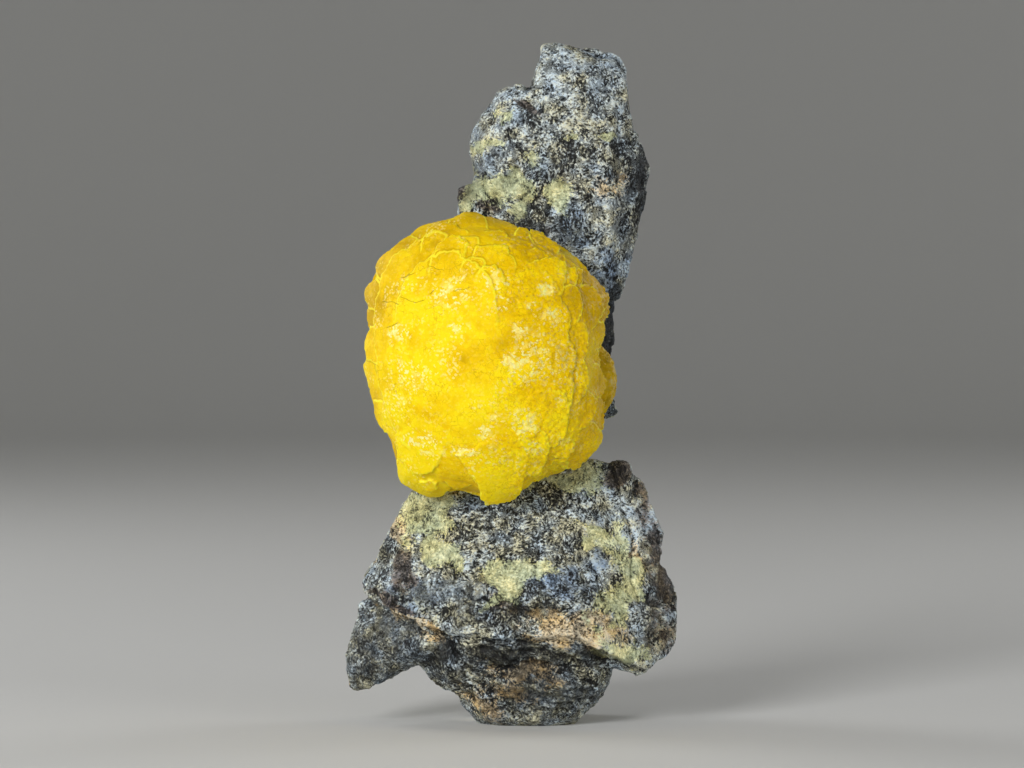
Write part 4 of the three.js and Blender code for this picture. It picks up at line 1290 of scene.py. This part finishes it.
def floor_sweep():
    """A round floor that sweeps up all round into a wall, in metres."""
    profile = [(0.25 * k * FLOOR_FLAT, 0) for k in range(1, 5)]
    for k in range(1, BEND_STEPS + 1):
        turn = math.pi / 2 * k / BEND_STEPS
        profile.append((FLOOR_FLAT + FLOOR_BEND * math.sin(turn), FLOOR_BEND * (1 - math.cos(turn))))
    profile.append((FLOOR_FLAT + FLOOR_BEND, FLOOR_BEND + FLOOR_WALL))
    points = [(0, 0, 0)]
    for radius, height in profile:
        points += [(radius * math.cos(a), radius * math.sin(a), height) for a in round_turns(FLOOR_TURNS)]
    faces = [(0, 1 + k, 1 + (k + 1) % FLOOR_TURNS) for k in range(FLOOR_TURNS)]
    for ring in range(len(profile) - 1):
        first = 1 + FLOOR_TURNS * ring
        for k in range(FLOOR_TURNS):
            start, after = first + k, first + (k + 1) % FLOOR_TURNS
            faces.append((start, start + FLOOR_TURNS, after + FLOOR_TURNS, after))
    floor = mesh_piece("floor", points, faces)
    floor.data.shade_smooth()
    return floor


def place_lights():
    for name, place, width, power in LIGHTS:
        data = bpy.data.lights.new(name, "AREA")
        data.size = width
        data.energy = power
        light = bpy.data.objects.new(name, data)
        light.location = place
        light.rotation_euler = (LIGHT_TARGET - Vector(place)).to_track_quat("-Z", "Y").to_euler()
        bpy.context.scene.collection.objects.link(light)
    world = bpy.data.worlds.new("studio")
    world.use_nodes = True
    sky = world.node_tree.nodes["Background"]
    set_inputs(sky, {"Color": (*linear("#d8d8d6"), 1), "Strength": 0.22})
    bpy.context.scene.world = world
    bpy.context.scene.view_settings.view_transform = "Standard"


def place_camera(settings):
    data = bpy.data.cameras.new("camera")
    data.sensor_width = 36
    data.lens = data.sensor_width * settings.camera_distance / VIEW_WIDTH
    data.clip_start = 0.01
    data.clip_end = 20
    camera = bpy.data.objects.new("camera", data)
    bpy.context.scene.collection.objects.link(camera)
    rise = settings.camera_height
    back = Vector((0, -math.cos(rise), math.sin(rise)))
    camera.location = VIEW_TARGET + back * settings.camera_distance
    camera.rotation_euler = (-back).to_track_quat("-Z", "Y").to_euler()
    bpy.context.scene.camera = camera


class SPECIMEN_PT_panel(bpy.types.Panel):
    """Lists the specimen's operators and settings"""

    bl_idname = "SPECIMEN_PT_panel"
    bl_label = "Brucite specimen"
    bl_space_type = "VIEW_3D"
    bl_region_type = "UI"
    bl_category = "Specimen"

    def draw(self, context):
        for operator in OPERATORS:
            self.layout.operator(operator.bl_idname)
        scene = context.scene
        for settings in (scene.specimen_rock, scene.specimen_brucite, scene.specimen_stage):
            for name in settings.__annotations__:
                self.layout.prop(settings, name)


OPERATORS = (SPECIMEN_OT_rock, SPECIMEN_OT_brucite, SPECIMEN_OT_stage)
CLASSES = (RockSettings, BruciteSettings, StageSettings, *OPERATORS, SPECIMEN_PT_panel)


def register():
    for cls in CLASSES:
        bpy.utils.register_class(cls)
    bpy.types.Scene.specimen_rock = bpy.props.PointerProperty(type=RockSettings)
    bpy.types.Scene.specimen_brucite = bpy.props.PointerProperty(type=BruciteSettings)
    bpy.types.Scene.specimen_stage = bpy.props.PointerProperty(type=StageSettings)


def unregister():
    del bpy.types.Scene.specimen_stage
    del bpy.types.Scene.specimen_brucite
    del bpy.types.Scene.specimen_rock
    for cls in reversed(CLASSES):
        bpy.utils.unregister_class(cls)


def main():
    register()
    bpy.ops.specimen.stage()
    bpy.ops.specimen.rock()
    bpy.ops.specimen.brucite()


if __name__ == "__main__":
    main()
